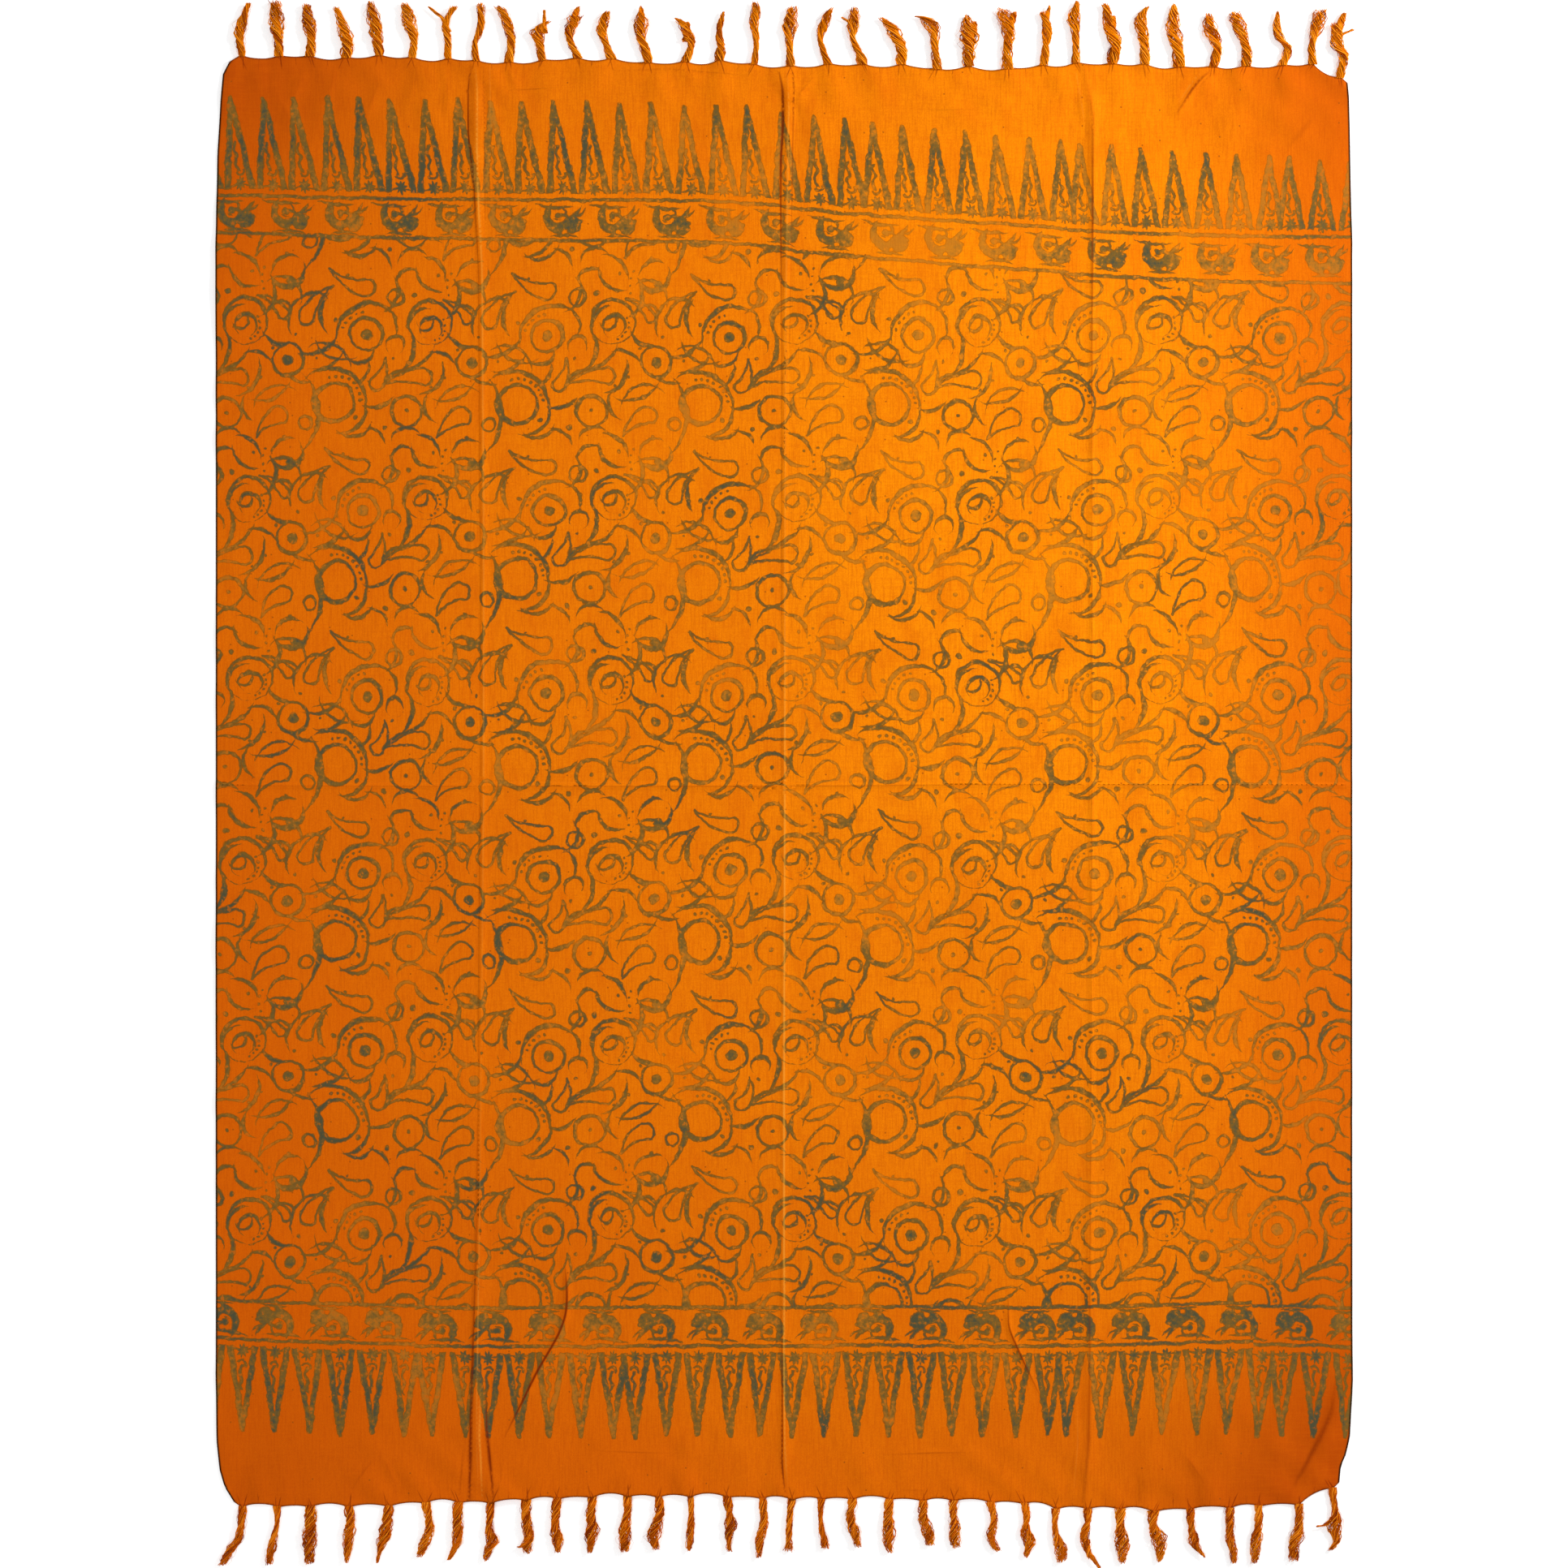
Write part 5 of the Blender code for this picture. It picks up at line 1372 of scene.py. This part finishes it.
def yarn_bundle(w, inputs, geometry, count, radius, spread, loose, seed):
    """Copies of every path, each moved to its place in the twisted bundle and made a thin thread."""
    copies = w.node("GeometryNodeDuplicateElements", domain="SPLINE")
    w.feed(copies.inputs["Geometry"], geometry)
    w.feed(copies.inputs["Amount"], count)
    index = w.node("GeometryNodeInputIndex").outputs[0]

    def chance(low, high, offset):
        node = w.node("FunctionNodeRandomValue", data_type="FLOAT")
        w.feed(node.inputs[2], low)
        w.feed(node.inputs[3], high)
        w.feed(node.inputs["ID"], index)
        w.feed(node.inputs["Seed"], seed + offset)
        return node.outputs[1]

    stored = copies.outputs["Geometry"]
    draws = {}
    for offset, (label, low, high) in enumerate((
            ("yarn_angle", 0.0, math.tau), ("yarn_reach", 0.25, 1.0), ("yarn_tone", 0.0, 1.0),
            ("yarn_end", 0.9, 1.0), ("yarn_ply", 0.0, 1.0))):
        keep = w.node("GeometryNodeStoreNamedAttribute", data_type="FLOAT", domain="CURVE")
        w.feed(keep.inputs["Geometry"], stored)
        keep.inputs["Name"].default_value = label
        w.feed(keep.inputs["Value"], chance(low, high, offset))
        stored = keep.outputs["Geometry"]
        read = w.node("GeometryNodeInputNamedAttribute", data_type="FLOAT")
        read.inputs["Name"].default_value = label
        draws[label] = read.outputs["Attribute"]
    along = w.node("GeometryNodeSplineParameter").outputs["Factor"]
    bundle = w.node("GeometryNodeInputRadius").outputs[0]
    turn = w.math("MULTIPLY", w.math("MULTIPLY", along, inputs["Turns"]), math.tau)
    ply = w.math("MULTIPLY", w.math("GREATER_THAN", draws["yarn_ply"], 0.5), math.pi)
    ply_turn = w.math("ADD", turn, ply)
    own_turn = w.math("ADD", w.math("MULTIPLY", turn, 2.0), draws["yarn_angle"])
    tip = w.math("POWER", along, 3.0)
    reach = w.math("MULTIPLY", w.math("MULTIPLY", bundle, spread), draws["yarn_reach"])
    ply_reach = w.math("MULTIPLY", bundle, w.math("MULTIPLY_ADD", tip, -0.15, PLY_REACH))
    x = w.math("ADD", w.math("MULTIPLY", w.math("COSINE", ply_turn), ply_reach),
               w.math("MULTIPLY", w.math("COSINE", own_turn), reach))
    z = w.math("ADD", w.math("MULTIPLY", w.math("SINE", ply_turn), ply_reach),
               w.math("MULTIPLY", w.math("SINE", own_turn), reach))
    z = w.math("MULTIPLY", z, inputs["Flatness"])
    spot = w.node("GeometryNodeInputPosition").outputs[0]
    own_spot = w.joined(draws["yarn_angle"], draws["yarn_tone"], draws["yarn_reach"])
    field = w.vector("ADD", spot, own_spot)
    stray = w.noise(field, STRAY_SCALE, 2.0, coloured=True, dimensions="3D")
    stray = w.vector("SUBTRACT", stray, (0.5, 0.5, 0.5))
    stray = w.vector("MULTIPLY", stray, (1.0, 0.7, 0.35))
    loosened = w.math("MULTIPLY", w.math("ADD", tip, loose), inputs["Fray"])
    offset = w.vector("ADD", w.joined(x, 0.0, z), w.scaled(stray, loosened))
    moved = w.node("GeometryNodeSetPosition")
    w.feed(moved.inputs["Geometry"], stored)
    w.feed(moved.inputs["Offset"], offset)
    cut = w.node("GeometryNodeTrimCurve", mode="FACTOR")
    w.feed(cut.inputs["Curve"], moved.outputs["Geometry"])
    w.feed(cut.inputs["End"], draws["yarn_end"])
    ring = w.node("GeometryNodeCurvePrimitiveCircle")
    ring.inputs["Resolution"].default_value = RING_SIDES
    w.feed(ring.inputs["Radius"], radius)
    thread = w.node("GeometryNodeCurveToMesh")
    w.feed(thread.inputs["Curve"], cut.outputs["Curve"])
    w.feed(thread.inputs["Profile Curve"], ring.outputs["Curve"])
    taper = w.math("MULTIPLY_ADD", w.node("GeometryNodeSplineParameter").outputs["Factor"], -TIP_TAPER, 1.0)
    w.feed(thread.inputs["Scale"], taper)
    thread.inputs["Fill Caps"].default_value = True
    return thread.outputs["Mesh"]


def tassel_tree(material):
    """Twisted tassels: a bundle of yarns and a few stray hairs about every path."""
    tree = bpy.data.node_groups.new("twisted_tassels", "GeometryNodeTree")
    face = tree.interface
    face.new_socket("Geometry", in_out="INPUT", socket_type="NodeSocketGeometry")
    face.new_socket("Geometry", in_out="OUTPUT", socket_type="NodeSocketGeometry")
    for label, value in TASSEL_SIZES.items():
        socket = face.new_socket(label, in_out="INPUT", socket_type=SOCKET_KINDS[type(value)])
        socket.default_value = value
    w = Wiring(tree)
    inputs = w.node("NodeGroupInput").outputs
    even = w.node("GeometryNodeResampleCurve", mode="COUNT")
    w.feed(even.inputs["Curve"], inputs["Geometry"])
    even.inputs["Count"].default_value = LINE_POINTS
    line = even.outputs["Curve"]
    yarns = yarn_bundle(w, inputs, line, inputs["Yarns"], inputs["Yarn Radius"], *YARN_LAY)
    hairs = yarn_bundle(w, inputs, line, inputs["Hairs"], inputs["Hair Radius"], *HAIR_LAY)
    both = w.node("GeometryNodeJoinGeometry")
    for part in (hairs, yarns):
        tree.links.new(part, both.inputs["Geometry"])
    smooth = w.node("GeometryNodeSetShadeSmooth")
    w.feed(smooth.inputs["Geometry"], both.outputs["Geometry"])
    real = w.node("GeometryNodeRealizeInstances")
    w.feed(real.inputs["Geometry"], smooth.outputs["Geometry"])
    dress = w.node("GeometryNodeSetMaterial")
    w.feed(dress.inputs["Geometry"], real.outputs["Geometry"])
    dress.inputs["Material"].default_value = material
    w.feed(w.node("NodeGroupOutput").inputs["Geometry"], dress.outputs["Geometry"])
    return tree


def make_tassels(name, rows, tree, material):
    """One fringe of tassels as a plain mesh, kept just above the floor."""
    paths = tassel_paths(name, rows)
    modifier = paths.modifiers.new("tassels", "NODES")
    modifier.node_group = tree
    for item in tree.interface.items_tree:
        if item.in_out == "INPUT" and item.name in TASSEL_SIZES:
            modifier[item.identifier] = TASSEL_SIZES[item.name]
    tassels = finished(paths)
    mesh = tassels.data
    if not mesh.materials:
        mesh.materials.append(material)
    spots = np.empty(len(mesh.vertices) * 3)
    mesh.vertices.foreach_get("co", spots)
    spots = spots.reshape(-1, 3)
    spots[:, 2] = np.maximum(spots[:, 2], FLOOR_CLEAR)
    mesh.vertices.foreach_set("co", spots.ravel())
    mesh.update()
    return tassels


# Floor, light and camera

LENS = 85.0
SENSOR = 36.0
VIEW_WIDTH = 1932 * PX
FLOOR_HALF = 6.0
FLOOR_SHADES = ((0.84, 0.84, 0.84, 1), (0.88, 0.88, 0.88, 1))
FLOOR_GLOW = 0.35
STUDIO_LIGHT = 0.52
# Place, size in metres and power in watts
KEY_LIGHT = ((2.4, 1.3, 1.35), 0.7, 80)
FILL_LIGHT = ((-1.4, -0.6, 3.2), 2.5, 30)


def make_floor():
    """A pale matt floor, wide enough to fill every view."""
    mesh = bpy.data.meshes.new("floor")
    half = FLOOR_HALF
    corners = [(-half, -half, 0), (half, -half, 0), (half, half, 0), (-half, half, 0)]
    mesh.from_pydata(corners, [], [(0, 1, 2, 3)])
    material = bpy.data.materials.new("pale_floor")
    material.use_nodes = True
    w = Wiring(material.node_tree)
    shader = material.node_tree.nodes["Principled BSDF"]
    spot = w.node("ShaderNodeTexCoord").outputs["Object"]
    w.feed(shader.inputs["Base Color"], w.blend(w.noise(spot, 3.0), *FLOOR_SHADES))
    shader.inputs["Roughness"].default_value = 0.9
    shader.inputs["Specular IOR Level"].default_value = 0.0
    shader.inputs["Emission Color"].default_value = (1, 1, 1, 1)
    shader.inputs["Emission Strength"].default_value = FLOOR_GLOW
    mesh.materials.append(material)
    floor = bpy.data.objects.new("floor", mesh)
    bpy.context.scene.collection.objects.link(floor)
    return floor


def soft_light(name, spot, size, power):
    """A square soft light that faces the middle of the cloth."""
    light = bpy.data.lights.new(name, "AREA")
    light.shape = "SQUARE"
    light.size = size
    light.energy = power
    lamp = bpy.data.objects.new(name, light)
    lamp.location = spot
    lamp.rotation_euler = (-Vector(spot)).to_track_quat("-Z", "Y").to_euler()
    bpy.context.scene.collection.objects.link(lamp)


def make_camera():
    """A camera straight above the middle of the cloth, framed as the photograph."""
    camera = bpy.data.cameras.new("camera")
    camera.lens = LENS
    camera.sensor_width = SENSOR
    camera.clip_end = 50
    eye = bpy.data.objects.new("camera", camera)
    eye.location = (0.0, 0.0, VIEW_WIDTH * LENS / SENSOR)
    bpy.context.scene.collection.objects.link(eye)
    bpy.context.scene.camera = eye


def make_light():
    """Even studio light from all round, and a key light from the upper right that draws the creases."""
    scene = bpy.context.scene
    world = scene.world or bpy.data.worlds.new("studio")
    scene.world = world
    world.use_nodes = True
    background = world.node_tree.nodes["Background"]
    background.inputs["Color"].default_value = (1, 1, 1, 1)
    background.inputs["Strength"].default_value = STUDIO_LIGHT
    soft_light("key_light", *KEY_LIGHT)
    soft_light("fill_light", *FILL_LIGHT)
    scene.view_settings.view_transform = "Standard"


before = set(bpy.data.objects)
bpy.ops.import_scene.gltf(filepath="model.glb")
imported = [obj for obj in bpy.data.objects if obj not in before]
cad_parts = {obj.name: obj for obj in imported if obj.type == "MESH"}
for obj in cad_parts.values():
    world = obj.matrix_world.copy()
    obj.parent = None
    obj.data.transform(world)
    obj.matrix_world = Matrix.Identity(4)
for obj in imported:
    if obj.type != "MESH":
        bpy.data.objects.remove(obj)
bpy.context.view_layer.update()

make_camera()
make_light()
make_floor()

panel = make_panel([printed_cloth(zone) for zone in ZONES])
yarn = fringe_yarn()
tree = tassel_tree(yarn)
tassels_top = make_tassels("tassels_top", TOP_TASSELS, tree, yarn)
tassels_bottom = make_tassels("tassels_bottom", BOTTOM_TASSELS, tree, yarn)

for piece, node, slot in (
        (panel, "cloth", "cloth"),
        (tassels_top, "fringe_top", "fringe"),
        (tassels_bottom, "fringe_bottom", "fringe")):
    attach(piece, "root")
    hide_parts(node)
